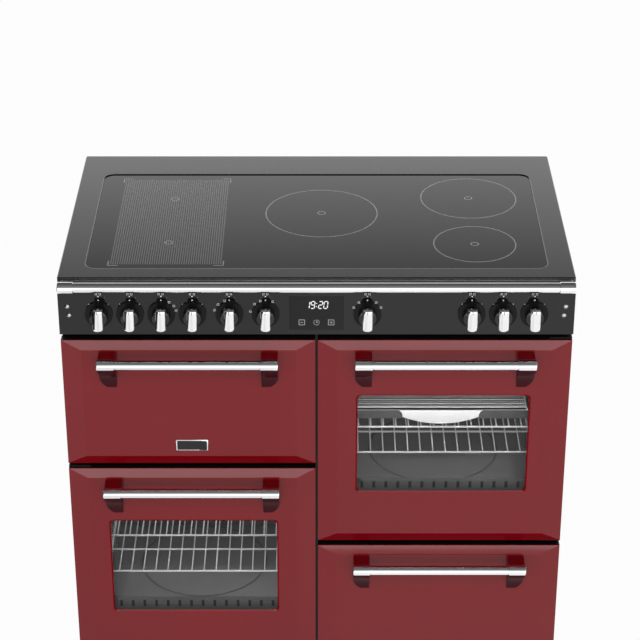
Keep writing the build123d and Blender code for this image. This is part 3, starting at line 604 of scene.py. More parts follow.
def barRowTree():
    # Equal flat bars, laid side by side
    tree = Tree("barRow", Count="Int", Start="Vector", Step="Vector", Size="Vector")
    return tree.spread(tree.row(), tree.node("GeometryNodeMeshCube", None, {"Size": tree.given["Size"]}))


def ringTree():
    # A flat ring round each point
    tree = Tree("ringLine", Radius="Float", Width="Float", Height="Float")
    given = tree.given
    circle = {"Resolution": facets["ring"], "Radius": given["Radius"]}
    loop = tree.node("GeometryNodeCurvePrimitiveCircle", None, circle)
    section = {"Width": given["Width"], "Height": given["Height"]}
    profile = tree.node("GeometryNodeCurvePrimitiveQuadrilateral", None, section)
    band = tree.node("GeometryNodeCurveToMesh", None, {"Curve": loop, "Profile Curve": profile})
    return tree.spread(given["Geometry"], band)


def screwTree():
    # A domed head at each point, flattened along an axis
    tree = Tree("screwHeads", Radius="Float", Flatten="Vector")
    given = tree.given
    size = {"Segments": facets["screwSegments"], "Rings": facets["screwRings"], "Radius": given["Radius"]}
    ball = tree.node("GeometryNodeMeshUVSphere", None, size)
    dome = tree.node("GeometryNodeTransform", None, {0: ball, "Scale": given["Flatten"]})
    return tree.spread(given["Geometry"], dome)


def dotArcTree():
    # Round marks along an arc about each point, on a face that looks out of the front
    sizes = {"Radius": "Float", "Begin": "Float", "Sweep": "Float", "Dot": "Float", "Lift": "Float"}
    tree = Tree("dotArc", Count="Int", **sizes)
    given = tree.given
    sweep = {"Radius": given["Radius"], "Start Angle": given["Begin"], "Sweep Angle": given["Sweep"]}
    arc = tree.node("GeometryNodeCurveArc", None, {"Resolution": facets["arc"], **sweep})
    along = {"Curve": arc, "Count": given["Count"]}
    spots = tree.node("GeometryNodeCurveToPoints", {"mode": "COUNT"}, along)
    size = {"Vertices": facets["dot"], "Radius": given["Dot"], "Depth": given["Lift"]}
    dot = tree.node("GeometryNodeMeshCylinder", None, size)
    marks = tree.node("GeometryNodeInstanceOnPoints", None, {"Points": spots, "Instance": dot})
    upright = {0: marks, "Rotation": (math.radians(90), 0, 0)}
    return tree.spread(given["Geometry"], tree.node("GeometryNodeTransform", None, upright))


wireRow = wireRowTree()
barRow = barRowTree()
ringLine = ringTree()
screwHeads = screwTree()
dotArc = dotArcTree()


# Carcass: rounded sheet edges and the screws that hold the panels

carcass = {
    "sheetEdge": 0.4 * mm,
    "screw": 4.5 * mm,
    "dome": 0.12,  # a head's height as a share of its radius
    "screwInset": 9 * mm,
    "screwDrop": 27 * mm,  # the highest side screws below the panels' top
    "sideScrews": 4,
    "rearScrews": 6,
}


def carcassPieces():
    for node in ("side_panels", "plinth", "terminal_box", "levelling_feet"):
        softened(node, node + ".shell", carcass["sheetEdge"])
    softened("hinge_brackets", "hinge_brackets.shell", carcass["sheetEdge"], hingeBlack)
    low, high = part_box("side_panels")
    inset = carcass["screwInset"]
    rises = spaced(low.z + inset, high.z - carcass["screwDrop"], carcass["sideScrews"])
    for side, x in (("left", low.x), ("right", high.x)):
        spots = [(x, high.y - inset, z) for z in rises]
        settle(screws(f"{side}SideScrews", spots, "X", carcass, looks["carcass_black"]), "carcass", "steel")
    low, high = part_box("rear_panel")
    columns = spaced(low.x + inset, high.x - inset, carcass["rearScrews"])
    spots = [(x, high.y, z) for x in columns for z in (low.z + inset, high.z - inset)]
    settle(screws("rearScrews", spots, "Y", carcass, looks["steel"]), "carcass", "steel")


def screws(name, spots, axis, sizes, material):
    flat = (sizes["dome"], 1, 1) if axis == "X" else (1, sizes["dome"], 1)
    return grown(name, screwHeads, material, spots, Radius=sizes["screw"], Flatten=flat)


carcassPieces()
print("carcass dressed")


# Hob: frame with a rounded rim, a pale painted highlight along its lip, and the zones printed on the glass

hob = {
    "rim": 0.6 * mm,
    "line": 2.2 * mm,
    "ink": 0.05 * mm,
    "centreRing": 7.5 * mm,
    # Zones in mm: centre from the hob's middle and front edge, and radius
    "zones": ((10, 300, 113.8), (315, 373.5, 98.6), (314.5, 153.7, 81.4)),
    "bridgeX": (-402 * mm, -187 * mm),
    "bridgeY": (62 * mm, 467 * mm),
    "bridgeLines": 49,
    "bridgeLine": 2.2 * mm,
    "bridgeCentres": ((-294, 367.5), (-294, 160.5)),  # in mm, as the zones
    "bracket": 20 * mm,
    "bracketGap": 5 * mm,
    "lap": 8 * mm,  # the glass under the frame
    "lip": 1.6 * mm,
    "lipCorner": 22 * mm,
}


def hobPieces():
    softened("hob_frame", "hobFrame.rim", hob["rim"], sharp=60, steps=3)
    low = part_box("hob_frame")[0]
    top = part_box("hob_glass")[1].z + hob["ink"]

    def spot(x, y):
        return (x * mm, low.y + y * mm, top)

    marks = []
    sizes = {"Width": hob["line"], "Height": hob["ink"]}
    for x, y, radius in hob["zones"]:
        marks.append(grown("zone", ringLine, hobInk, [spot(x, y)], Radius=radius * mm, **sizes))
    centres = [spot(x, y) for x, y, _ in hob["zones"]] + [spot(x, y) for x, y in hob["bridgeCentres"]]
    marks.append(grown("zoneCentres", ringLine, hobInk, centres, Radius=hob["centreRing"], **sizes))
    marks += bridgeBrackets(low.y, top)
    settle(joined("hobZones", marks), "carcass", "hob_glass")
    settle(bridgeLines(low.y, top), "carcass", "hob_glass")
    settle(paintedLipHighlight(), "carcass", "hob_enamel")


def paintedLipHighlight():
    # A painted highlight: a pale line on the frame's inner edge, along the front and sides of the glass
    low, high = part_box("hob_glass")
    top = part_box("hob_frame")[1].z + hob["ink"] / 2
    middle = centreOf("hob_glass")
    edges = []
    for inset in (hob["lap"] - hob["rim"] - hob["lip"], hob["lap"] - hob["rim"]):
        corner = hob["lipCorner"] - inset + hob["lap"]
        outline = roundedRect(high.x - low.x - 2 * inset, high.y - low.y - 2 * inset, corner, steps=8)
        half = len(outline) // 2
        edges.append(outline[half - 1:] + outline[:1])
    layers = []
    for (outX, outY), (inX, inY) in zip(*edges):
        sides = [(middle.x + outX, middle.y + outY), (middle.x + inX, middle.y + inY)]
        under = [(x, y, top - hob["ink"]) for x, y in reversed(sides)]
        layers.append([(x, y, top) for x, y in sides] + under)
    return stack("hobLipHighlight", layers, lipHighlightPaint)


def bridgeLines(frontY, top):
    (left, right), (near, far) = hob["bridgeX"], hob["bridgeY"]
    pitch = (right - left) / (hob["bridgeLines"] - 1)
    start = (left, frontY + (near + far) / 2, top - hob["ink"] / 4)
    size = (hob["bridgeLine"], far - near, hob["ink"])
    row = {"Count": hob["bridgeLines"], "Start": start, "Step": (pitch, 0, 0), "Size": size}
    return grown("bridgeLines", barRow, bridgeInk, **row)


def bridgeBrackets(frontY, top):
    # Two short bars in each corner of the bridge zone
    made = []
    gap, length, line = hob["bracketGap"], hob["bracket"], hob["line"]
    left, right = hob["bridgeX"]
    near, far = hob["bridgeY"]
    for x, inX in ((left - gap, 1), (right + gap, -1)):
        for y, inY in ((near - gap, 1), (far + gap, -1)):
            for shiftX, shiftY in ((inX, 0), (0, inY)):
                start = (x + shiftX * length / 2, frontY + y + shiftY * length / 2, top)
                size = (length if shiftX else line, length if shiftY else line, hob["ink"])
                made.append(grown("bracket", barRow, hobInk, Count=1, Start=start, Size=size))
    return made


hobPieces()
print("hob dressed")


# Round bars: the front rail and the door handles share one turned profile

bar = {
    "edge": 2.0 * mm,
    "chamfer": 0.6 * mm,
    "groove": 0.8 * mm,
    "grooveWidth": 1.6 * mm,
    "arcSteps": 5,
    "slack": 1 * mm,  # a strip or post reaches this near to the back of its node, and a bar doesn't
}


def barProfile(length, radius, endRadius, endLength):
    # From one end to the other: domed ferrule, groove, bar, groove, ferrule
    edge, steps = bar["edge"], bar["arcSteps"]
    half = [(0, 0), (0, endRadius - edge)]
    for step in range(1, steps + 1):
        turn = math.radians(90 * step / steps)
        half.append((edge * (1 - math.cos(turn)), endRadius - edge + edge * math.sin(turn)))
    half += [(endLength - bar["chamfer"], endRadius), (endLength, endRadius - bar["chamfer"])]
    floor, far = radius - bar["groove"], endLength + bar["grooveWidth"]
    half += [(endLength, floor), (far, floor), (far, radius), (length / 2, radius)]
    return half + [(length - along, r) for along, r in reversed(half[:-1])]


doors = ("grill", "main", "second", "slow")
fanOvens = ("main", "second")
rail = {"radius": 10 * mm, "ferrule": 11.5 * mm, "ferruleLength": 31 * mm, "stripEdge": 0.6 * mm}


def railPieces():
    low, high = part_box("front_rail")
    profile = barProfile(high.x - low.x, rail["radius"], rail["ferrule"], rail["ferruleLength"])
    spot = (low.x, low.y + rail["ferrule"], centreOf("front_rail").z)
    turned = lathe("frontRail.bar", profile, spot, "X", looks["chrome"])
    settle(turned, "carcass", "chrome", "front_rail")
    strip = mergedCopy("front_rail")
    keepIslands(strip, high.y - bar["slack"])
    roundEdges(strip, rail["stripEdge"])
    settle(asObject("frontRail.strip", strip, railSteel), "carcass", "chrome")


railPieces()

handle = {
    "radius": 9.75 * mm,
    "ferrule": 11 * mm,
    "ferruleLength": 35 * mm,
    "postEdge": 1.0 * mm,
    "shade": 6 * mm,  # faces this far below the bar's axis are in its shade
    "postDrop": 9 * mm,  # the posts' feet below the solid's
}


def handlePieces(door):
    node = f"{door}_door_handle"
    low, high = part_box(node)
    barZ = high.z - handle["ferrule"]
    profile = barProfile(high.x - low.x, handle["radius"], handle["ferrule"], handle["ferruleLength"])
    spot = (low.x, low.y + handle["ferrule"], barZ)
    turned = lathe(f"{door}Handle.bar", profile, spot, "X", looks["chrome"])
    settle(turned, f"{door}_door", "chrome", node)
    posts = mergedCopy(node)
    keepIslands(posts, high.y - bar["slack"])
    for vert in posts.verts:
        vert.co.z -= handle["postDrop"] * max(0, barZ - vert.co.z) / (barZ - low.z)
    roundEdges(posts, handle["postEdge"], steps=3)
    piece = asObject(f"{door}Handle.posts", posts, looks["door_red"])
    # Post faces below the bar get the darker red: painted shadow of the bar
    refinish(piece, postPaintedShade, lambda face: face.center.z < barZ - handle["shade"])
    evenNormals(piece)
    settle(piece, f"{door}_door", "door_red")


for door in doors:
    handlePieces(door)
print("rail and handles turned")


# Control panel: fascia, clock, printed dials and knobs

fascia = {
    "edge": 1.0 * mm,
    "windowEdge": 0.25 * mm,
    "bezelSheet": 4.5 * mm,  # how far the dial bezels stand out of the panel
    "screw": 5 * mm,
    "dome": 0.6,
    "screwPlaces": ((482 * mm, 882 * mm), (479.5 * mm, 863 * mm)),  # across, on both sides, and up
}


def fasciaPieces():
    shell = softened("control_panel", "fascia.shell", fascia["edge"], sharp=60)
    front = fasciaFront()
    refinish(shell, bezelBlack, lambda face: face.center.y < front - fascia["edge"] / 4)
    softened("display_window", "clock.window", fascia["windowEdge"], sharp=60)
    spots = [(side * x, front, z) for side in (-1, 1) for x, z in fascia["screwPlaces"]]
    settle(screws("fasciaScrews", spots, "Y", fascia, screwSteel), "carcass", "chrome")


def fasciaFront():
    # The flat of the panel, behind the fronts of the dial bezels
    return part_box("control_panel")[0].y + fascia["bezelSheet"]


clock = {
    "digit": (7.2 * mm, 15 * mm),
    "stroke": 1.9 * mm,
    "slant": 0.12,
    "pitch": 10.0 * mm,
    "lift": 0.12 * mm,
    "rise": 18 * mm,  # digits above the window's middle
    "shift": 0.5 * mm,
    "gap": 0.25,  # between strokes, as a share of their width
    "colonRoom": 0.5,  # as a share of a digit's
    "colonRise": 3.3 * mm,
    "colonShift": 0.38 * mm,
    "colonCorner": 0.57 * mm,
    "shows": "19:20",
}
# Each stroke's middle, in digit widths and heights
strokePlaces = {
    "a": (0, 0.5), "b": (0.5, 0.25), "c": (0.5, -0.25), "d": (0, -0.5),
    "e": (-0.5, -0.25), "f": (-0.5, 0.25), "g": (0, 0),
}
# The strokes that each digit lights
strokesOf = {"0": "abcdef", "1": "bc", "2": "abged", "9": "abcdfg"}
touch = {
    "drop": 20 * mm,  # below the window's middle
    "pitch": 28.5 * mm,
    "size": 11 * mm,
    "line": 0.6 * mm,
    "sign": 4.95 * mm,
    "ringDots": 40,
    "ringDot": 0.33 * mm,
    # Hands of the clock face: shift from its middle, and length
    "minuteHand": (1.54 * mm, 3.3 * mm),
    "hourHand": (1.32 * mm, 2.86 * mm),
}


def digitStroke(letter):
    # Outline of one stroke, with pointed ends
    width, height = clock["digit"]
    across, up = strokePlaces[letter]
    x, z = across * width, up * height
    half = clock["stroke"] / 2
    reach = (height / 4 if across else width / 2) - clock["stroke"] * clock["gap"]
    near = reach - half
    outline = [(-reach, 0), (-near, half), (near, half), (reach, 0), (near, -half), (-near, -half)]
    if across:
        return [(x + side, z + along) for along, side in outline]
    return [(x + along, z + side) for along, side in outline]


def colonDots():
    dot = roundedRect(clock["stroke"], clock["stroke"], clock["colonCorner"], steps=2)
    rises = (clock["colonRise"], -clock["colonRise"])
    return [[(x - clock["colonShift"], z + rise) for x, z in dot] for rise in rises]


def clockPieces():
    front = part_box("display_window")[0].y
    middle = centreOf("display_window")
    strokes = []
    rooms = [clock["pitch"] * (clock["colonRoom"] if sign == ":" else 1) for sign in clock["shows"]]
    left = middle.x + clock["shift"] - sum(rooms) / 2
    for sign, room in zip(clock["shows"], rooms):
        centre = (left + room / 2, middle.z + clock["rise"])
        left += room
        outlines = colonDots() if sign == ":" else [digitStroke(letter) for letter in strokesOf[sign]]
        for outline in outlines:
            slanted = [(x + z * clock["slant"], z) for x, z in outline]
            strokes.append(frontPlate("stroke", slanted, centre, front, clock["lift"], digitGlow))
    settle(joined("clock.digits", strokes), "carcass", "display_gloss")
    settle(touchMarks(front, middle.x, middle.z - touch["drop"]), "carcass", "display_gloss")


def lineBox(spot, size, line, ink):
    # A square drawn in thin lines on a front face
    x, y, z = spot
    half = size / 2
    level = {"Start": (x, y, z - half), "Step": (0, 0, size), "Size": (size + line, clock["lift"], line)}
    upright = {"Start": (x - half, y, z), "Step": (size, 0, 0), "Size": (line, clock["lift"], size)}
    return [grown("box", barRow, ink, Count=2, **sides) for sides in (level, upright)]


def touchMarks(front, centreX, z):
    # A minus, a clock face and a plus, drawn in thin lines
    made = []
    line, size, lift = touch["line"], touch["size"], clock["lift"]

    def stroke(x, rise, width, height):
        start, bounds = (x, front, z + rise), (width, lift, height)
        made.append(grown("mark", barRow, touchInk, Count=1, Start=start, Size=bounds))

    for side in (-1, 1):
        x = centreX + side * touch["pitch"]
        made.extend(lineBox((x, front, z), size, line, touchInk))
        stroke(x, 0, touch["sign"], line)
        if side > 0:
            stroke(x, 0, line, touch["sign"])
    ring = {"Radius": size / 2, "Begin": 0.0, "Sweep": math.tau, "Dot": touch["ringDot"], "Lift": lift}
    made.append(grown("mark", dotArc, touchInk, [(centreX, front, z)], Count=touch["ringDots"], **ring))
    rise, length = touch["minuteHand"]
    stroke(centreX, rise, line, length)
    shift, length = touch["hourHand"]
    stroke(centreX + shift, 0, length, line)
    return joined("clock.touchMarks", made)


knob = {
    "count": 10,
    "gap": 0.6 * mm,  # from the bezel to the knob
    "body": 18 * mm,
    # The body's front edge in mm: distance behind its face, and inset
    "shoulder": ((1.5, 0.6), (0.45, 1.05), (0, 2.1)),
    "grip": (21 * mm, 46 * mm, 13 * mm),
    "gripSide": 6.5 * mm,
    "gripSteps": 20,
    # The grip draws in towards its ends, in mm: distance from the end, and inset
    "gripEnds": ((0, 4.2), (0.6, 2.5), (1.8, 1.1), (3.6, 0.3), (6.0, 0)),
    "crownDraw": 0.6,  # the crown's share of that inset
    "notch": (1.8 * mm, 4.5 * mm),
    "notchCorner": 0.81 * mm,
    "notchProud": 0.12 * mm,
}


def knobPieces(number):
    node = f"knob_{number}"
    x, _, z = centreOf(node)
    _, height, depth = knob["grip"]
    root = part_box(node)[0].y + depth
    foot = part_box("control_panel")[0].y - knob["gap"]
    radius, black = knob["body"], looks["knob_black"]
    shoulder = [(root + back * mm, radius - inset * mm) for back, inset in knob["shoulder"]]
    profile = [(foot, 0), (foot, radius), *shoulder, (root, 0)]
    settle(lathe(f"{node}.body", profile, (x, 0, z), "Y", black), node, "knob_black", node)
    ends = [(along * mm, inset * mm) for along, inset in knob["gripEnds"]]
    levels = [(z - height / 2 + along, inset) for along, inset in ends]
    levels += [(z + height / 2 - along, inset) for along, inset in reversed(ends)]
    layers = [[(x + px, root - py, level) for px, py in gripSection(inset)] for level, inset in levels]
    settle(stack(f"{node}.grip", layers, gripChrome, smooth=60), node, "chrome")
    notchWidth, notchHeight = knob["notch"]
    outline = roundedRect(notchWidth, notchHeight, knob["notchCorner"], steps=4)
    centre = (x, z + height / 2 - notchHeight)
    back, proud = root - depth / 2, depth / 2 + knob["notchProud"]
    settle(frontPlate(f"{node}.notch", outline, centre, back, proud, black), node, "knob_black")
    return (x, fasciaFront(), z)


def gripSection(inset):
    # Flat back and sides, and a crowned front
    width, _, depth = knob["grip"]
    half, side, steps = width / 2 - inset, knob["gripSide"], knob["gripSteps"]
    crown = depth - side - inset * knob["crownDraw"]
    section = [(half, 0)]
    for step in range(steps + 1):
        turn = math.pi * step / steps
        section.append((half * math.cos(turn), side + crown * math.sin(turn)))
    return section + [(-half, 0)]


dial = {
    "dot": 0.75 * mm,
    "lift": 0.1 * mm,
    "dotRadius": 28.6 * mm,
    "column": (33.6 * mm, 8.2 * mm, 1.3 * mm),  # rise, pitch and radius of the two dots above each knob
    "fan": (48, 84),  # first of the two dots beside it, and the turn to the other, in degrees
    "icon": (42.7 * mm, 7.5 * mm, 3.4 * mm),  # rise, pitch and size of the two squares above each knob
    "markRadius": 29.8 * mm,
    "mark": 3.6 * mm,
    "markLine": 0.7 * mm,
    # Oven dials: where their marks stand, in degrees from the top
    "ovenMarks": {3: (32, 55, 76), 5: (-74, -47, -17), 6: (-80, -45, -20, 28), 7: (-62, -34, 34, 62)},
}


def dialPieces():
    spots = [knobPieces(number) for number in range(1, knob["count"] + 1)]
    made = []
    plain = [spot for number, spot in enumerate(spots, 1) if number not in dial["ovenMarks"]]
    begin, sweep = [math.radians(turn) for turn in dial["fan"]]
    fan = {"Radius": dial["dotRadius"], "Begin": begin, "Sweep": sweep, "Dot": dial["dot"]}
    made.append(grown("dots", dotArc, dialInk, plain, Count=2, Lift=dial["lift"], **fan))
    rise, pitch, dot = dial["column"]
    column = [(x, y, z + rise) for x, y, z in spots]
    pair = {"Radius": pitch / 2, "Begin": -math.pi / 2, "Sweep": math.pi, "Dot": dot}
    made.append(grown("dots", dotArc, dialInk, column, Count=2, Lift=dial["lift"], **pair))
    for number, turns in dial["ovenMarks"].items():
        x, y, z = spots[number - 1]
        for turn in turns:
            angle = math.radians(turn)
            place = (x + dial["markRadius"] * math.sin(angle), y, z + dial["markRadius"] * math.cos(angle))
            made += lineBox(place, dial["mark"], dial["markLine"], dialInk)
    settle(joined("dialMarks", made), "carcass", "fascia_gloss")
    rise, pitch, square = dial["icon"]
    icons = []
    for x, y, z in spots:
        for side in (-1, 1):
            icons += lineBox((x + side * pitch / 2, y, z + rise), square, dial["markLine"], iconInk)
    settle(joined("dialIcons", icons), "carcass", "fascia_gloss")


fasciaPieces()
clockPieces()
dialPieces()
print("control panel dressed")


# Doors: rounded panels, liners, window edges, dark bars in the slots as painted shade, and the blank plate
# on the grill door

doorLook = {
    "crease": 1.6 * mm,
    "edge": 1.2 * mm,
    "linerEdge": 1.0 * mm,
    "enamelDepth": 8 * mm,  # the red stops this far behind the field, and the returns are black
    "cutSlack": 0.001 * mm,
    "lowerBevel": (-0.5, -0.12),  # faces that look this far forward and down
}


def doorPieces(door):
    node = f"{door}_door_panel"
    form = mergedCopy(node)
    roundEdges(form, doorLook["crease"], sharp=5, soft=24, steps=3)
    roundEdges(form, doorLook["edge"], sharp=50)
    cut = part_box(node)[0].y + doorLook["enamelDepth"]
    whole = form.verts[:] + form.edges[:] + form.faces[:]
    plane = {"plane_co": (0, cut, 0), "plane_no": (0, 1, 0), "dist": doorLook["cutSlack"]}
    bmesh.ops.bisect_plane(form, geom=whole, **plane)
    piece = asObject(f"{door}Door.panel", form, looks["door_red"])
    forward, down = doorLook["lowerBevel"]
    # The lower bevels get the dull darker red: painted shade
    refinish(piece, redPaintedShade, lambda face: face.normal.y < forward and face.normal.z < down)
    refinish(piece, looks["frame_black"], lambda face: face.center.y > cut)
    evenNormals(piece)
    settle(piece, f"{door}_door", "door_red", node)
    softened(f"{door}_door_liner", f"{door}Door.liner", doorLook["linerEdge"], sharp=60)


for door in doors:
    doorPieces(door)

window = {
    "lap": 10 * mm,  # the pane's margin behind the panel
    "corner": 9 * mm,
    "slope": (3.0 * mm, 1.3 * mm),  # how far the pressed edge reaches in and back
    "pale": 0.3,  # only the edge that looks up this much keeps its gloss
    "front": -0.98,  # and so do the faces that look forward
    "cover": 1.4 * mm,  # how far it laps over the panel's front
    "chamfer": 0.14 * mm,
    "proud": 0.06 * mm,
    "slots": 14,
    "slotPitch": 24.5 * mm,
    "shadeBar": (6 * mm, 2.4 * mm, 15 * mm),
    "shadeBarProud": 0.3 * mm,
}


def windowEdge(door):
    # The panel's edge, pressed in round the window
    low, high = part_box(f"{door}_door_glass")
    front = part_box(f"{door}_door_panel")[0].y
    middle = centreOf(f"{door}_door_glass")
    width, height = [span - 2 * window["lap"] for span in (high.x - low.x, high.z - low.z)]
    reach, depth = window["slope"]
    cover, proud = window["cover"], window["proud"]
    layers = []
    rim = window["chamfer"] - cover
    for inset, back in ((-cover, depth), (-cover, 0), (rim, -proud), (0, -proud), (reach, depth)):
        outline = roundedRect(width - 2 * inset, height - 2 * inset, window["corner"], steps=8)
        layers.append([(middle.x + x, front + back, middle.z + z) for x, z in outline])
    piece = stack(f"{door}Door.windowEdge", layers, looks["door_red"], smooth=15, looped=True)

    def inShade(face):
        return face.normal.y > window["front"] and face.normal.z < window["pale"]

    # Faces of the pressed edge that don't look up get the dull darker red: painted shade
    refinish(piece, redPaintedShade, inShade)
    settle(piece, f"{door}_door", "door_red")


def paintedSlotShade(door):
    # Dark bars in the row of slots under the inner window: painted shade for the dark inside of the slots
    pane = f"{door}_door_glass"
    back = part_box(f"{door}_door_liner")[1].y
    size = window["shadeBar"]
    first = centreOf(pane).x - window["slotPitch"] * (window["slots"] - 1) / 2
    start = (first, back + window["shadeBarProud"] - size[1] / 2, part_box(pane)[0].z + window["lap"])
    row = {"Count": window["slots"], "Start": start, "Step": (window["slotPitch"], 0, 0), "Size": size}
    shadeBars = grown(f"{door}Door.paintedSlotShade", barRow, looks["seal_rubber"], **row)
    settle(shadeBars, f"{door}_door", "seal_rubber")


for door in fanOvens:
    windowEdge(door)
    paintedSlotShade(door)

plate = {
    "size": (64 * mm, 25 * mm),
    "corner": 2 * mm,
    "rim": 2.2 * mm,
    "edge": 0.4 * mm,
    "proud": 1.6 * mm,
    "inlay": 0.25 * mm,
    "z": 568 * mm,
    "shift": 2 * mm,  # to the right of the door's middle
}


def blankPlate():
    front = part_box("grill_door_panel")[0].y
    centre = (centreOf("grill_door_panel").x + plate["shift"], plate["z"])
    width, height = plate["size"]
    outer = roundedRect(width, height, plate["corner"])
    rim = frontPlate("doorPlate.rim", outer, centre, front, plate["proud"], looks["chrome"], plate["edge"])
    settle(rim, "grill_door", "chrome")
    inner = roundedRect(width - 2 * plate["rim"], height - 2 * plate["rim"], plate["corner"] / 2)
    face = front - plate["proud"]
    field = frontPlate("doorPlate.field", inner, centre, face, plate["inlay"], looks["fascia_gloss"])
    settle(field, "grill_door", "fascia_gloss")


blankPlate()
print("doors dressed")


# Ovens: wire shelves, the grill pan with its trivet, and the pressed oven floors

shelf = {
    "rod": 3.0 * mm,
    "bar": 2.0 * mm,
    "wire": 1.4 * mm,
    "wires": 14,
    "pitch": 25.6 * mm,
    "crossStep": 82 * mm,  # from the front bar to the next
}


def wires(material, count, start, run, radius, step=(0, 0, 0)):
    return grown("wires", wireRow, material, Count=count, Start=start, Run=run, Radius=radius, Step=step)


def wireShelf(node):
    low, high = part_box(node)
    x, _, z = centreOf(node)
    rod, pitch, chrome = shelf["rod"], shelf["pitch"], looks["shelf_chrome"]
    left, near, far = low.x + rod, low.y + rod, high.y - rod
    across = (high.x - low.x - 2 * rod, 0, 0)
    first = x - pitch * (shelf["wires"] - 1) / 2
    parts = [
        wires(chrome, shelf["wires"], (first, near, z), (0, far - near, 0), shelf["wire"], (pitch, 0, 0)),
        wires(chrome, 2, (left, low.y, z), (0, high.y - low.y, 0), rod, across),
    ]
    for y in (near, near + shelf["crossStep"], far):
        parts.append(wires(chrome, 1, (left, y, z), across, shelf["bar"]))
    settle(joined(node + ".wires", parts), bodyOf(node), "shelf_chrome", node)


for level in ("lower", "upper"):
    for name in fanOvens:
        wireShelf(f"{name}_shelf_{level}")

trivet = {
    "rod": 2.0 * mm, "wire": 1.25 * mm, "wires": 18, "inset": 8 * mm,
    "mesh": 0.7 * mm, "meshWires": 68, "meshRows": 35,
}


def trivetWires():
    low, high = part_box("grill_trivet")
    z = centreOf("grill_trivet").z
    rod, mesh, steel = trivet["rod"], trivet["mesh"], trivetSteel
    left, near = low.x + rod, low.y + rod + trivet["inset"]
    width, reach = high.x - low.x - 2 * rod, high.y - low.y - 2 * rod - 2 * trivet["inset"]
    across, start = (width, 0, 0), (left, near, z)
    pitch = width / (trivet["meshWires"] + 1)
    meshStep, wireStep = [(0, reach / (trivet[row] - 1), 0) for row in ("meshRows", "wires")]
    parts = [
        wires(steel, trivet["meshRows"], start, across, mesh, meshStep),
        wires(steel, trivet["wires"], start, across, trivet["wire"], wireStep),
        wires(steel, 2, (left, low.y, z), (0, high.y - low.y, 0), rod, across),
        wires(steel, trivet["meshWires"], (left + pitch, near, z), (0, reach, 0), mesh, (pitch, 0, 0)),
    ]
    settle(joined("grillTrivet.wires", parts), "grill_trivet", "shelf_chrome", "grill_trivet")


pan = {"edge": 0.5 * mm, "plateSheet": 1.8 * mm, "rim": 1.6 * mm}


def panPieces():
    tray = softened("grill_pan", "grillPan.tray", pan["edge"], sharp=60)
    low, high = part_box("grill_pan")
    wall, rim = low.y + pan["plateSheet"], high.z - pan["rim"]
    refinish(tray, looks["shelf_chrome"], lambda face: face.center.z > rim)
    refinish(tray, plateWhite, lambda face: face.center.y < wall)


oven = {
    "floor": 13.5 * mm,  # above the flange's lower edge
    "floorSlack": 1 * mm,
    "level": 0.9,  # faces that look up this much are the floor's
    "ringRadius": 138 * mm,
    "ring": {"Width": 5 * mm, "Height": 1.0 * mm},
    "ringBack": 300 * mm,  # behind the hob's front edge
}


def ovenCavity(name):
    # Paler enamel on the floor, painted light for a floor that catches more light than the walls, with a
    # pressed ring in it
    node = f"{name}_oven_cavity"
    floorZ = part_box(node)[0].z + oven["floor"]
    piece = asObject(f"{name}Oven.cavity", mergedCopy(node), looks["oven_enamel"])

    def onFloor(face):
        return face.normal.z > oven["level"] and abs(face.center.z - floorZ) < oven["floorSlack"]

    refinish(piece, floorPaintedLight, onFloor)
    settle(piece, "carcass", "oven_enamel", node)
    spot = (centreOf(node).x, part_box("hob_frame")[0].y + oven["ringBack"], floorZ)
    ring = {"Radius": oven["ringRadius"], **oven["ring"]}
    # The ring keeps the darker wall enamel: painted shade along the pressed ring
    pressed = grown(f"{name}Oven.floorRing", ringLine, looks["oven_enamel"], [spot], **ring)
    settle(pressed, "carcass", "oven_enamel")


trivetWires()
panPieces()
for name in fanOvens:
    ovenCavity(name)
print("ovens dressed")


# Stage: a pale floor, a sky with bright horizons, a dark flag, the front lights and the oven lamps

stage = {"floorReach": 30.0, "glow": 0.97, "glossSpan": 3.0, "worldStrength": 3.15}
# Sky levels as shares of the strength, from the front horizon over the zenith to the rear one
skyStops = (
    (0.0, 1.0), (0.035, 1.0), (0.05, 0.40), (0.13, 0.34), (0.145, 0.07), (0.37, 0.05), (0.5, 0.025),
    (0.72, 0.03), (0.844, 0.03), (0.8706, 0.44), (0.885, 0.58), (1.0, 0.48),
)
# How bright gloss sees the floor, from left to right
floorStops = ((0.0, 1.0), (0.17, 1.0), (0.28, 0.86), (0.46, 0.88), (0.54, 1.0), (1.0, 1.0))


def studioFloor():
    form = bmesh.new()
    bmesh.ops.create_grid(form, x_segments=1, y_segments=1, size=stage["floorReach"])
    made = finish("studioFloor", {"Base Color": grey(0.8), "Roughness": 0.9, "Specular IOR Level": 0.0})
    rays = ("Camera", "Glossy", "Transmission")
    direct, gloss, through = [made.node("ShaderNodeLightPath", output=f"Is {ray} Ray") for ray in rays]
    across = made.node("ShaderNodeSeparateXYZ", None, {0: made.coords()}, "X")
    level = made.node("ShaderNodeValToRGB", {"stops": floorStops}, {0: across / stage["glossSpan"] + 0.5})
    white = made.node("ShaderNodeEmission", None, {"Color": grey(1.0), "Strength": 1.0})
    mirrored = made.node("ShaderNodeEmission", None, {"Color": level, "Strength": 1.0})
    plain = Link(made, made.shader.outputs[0])
    lit = made.node("ShaderNodeMixShader", None, {0: direct * stage["glow"], 1: plain, 2: white})
    both = made.node("ShaderNodeMixShader", None, {0: gloss + through, 1: lit, 2: mirrored})
    made.feed(made.tree.nodes["Material Output"].inputs["Surface"], both)
    asObject("studioFloor", form, made.material)


flag = {"x": -1.5, "near": -3.2, "far": 0.2, "height": 1.6}


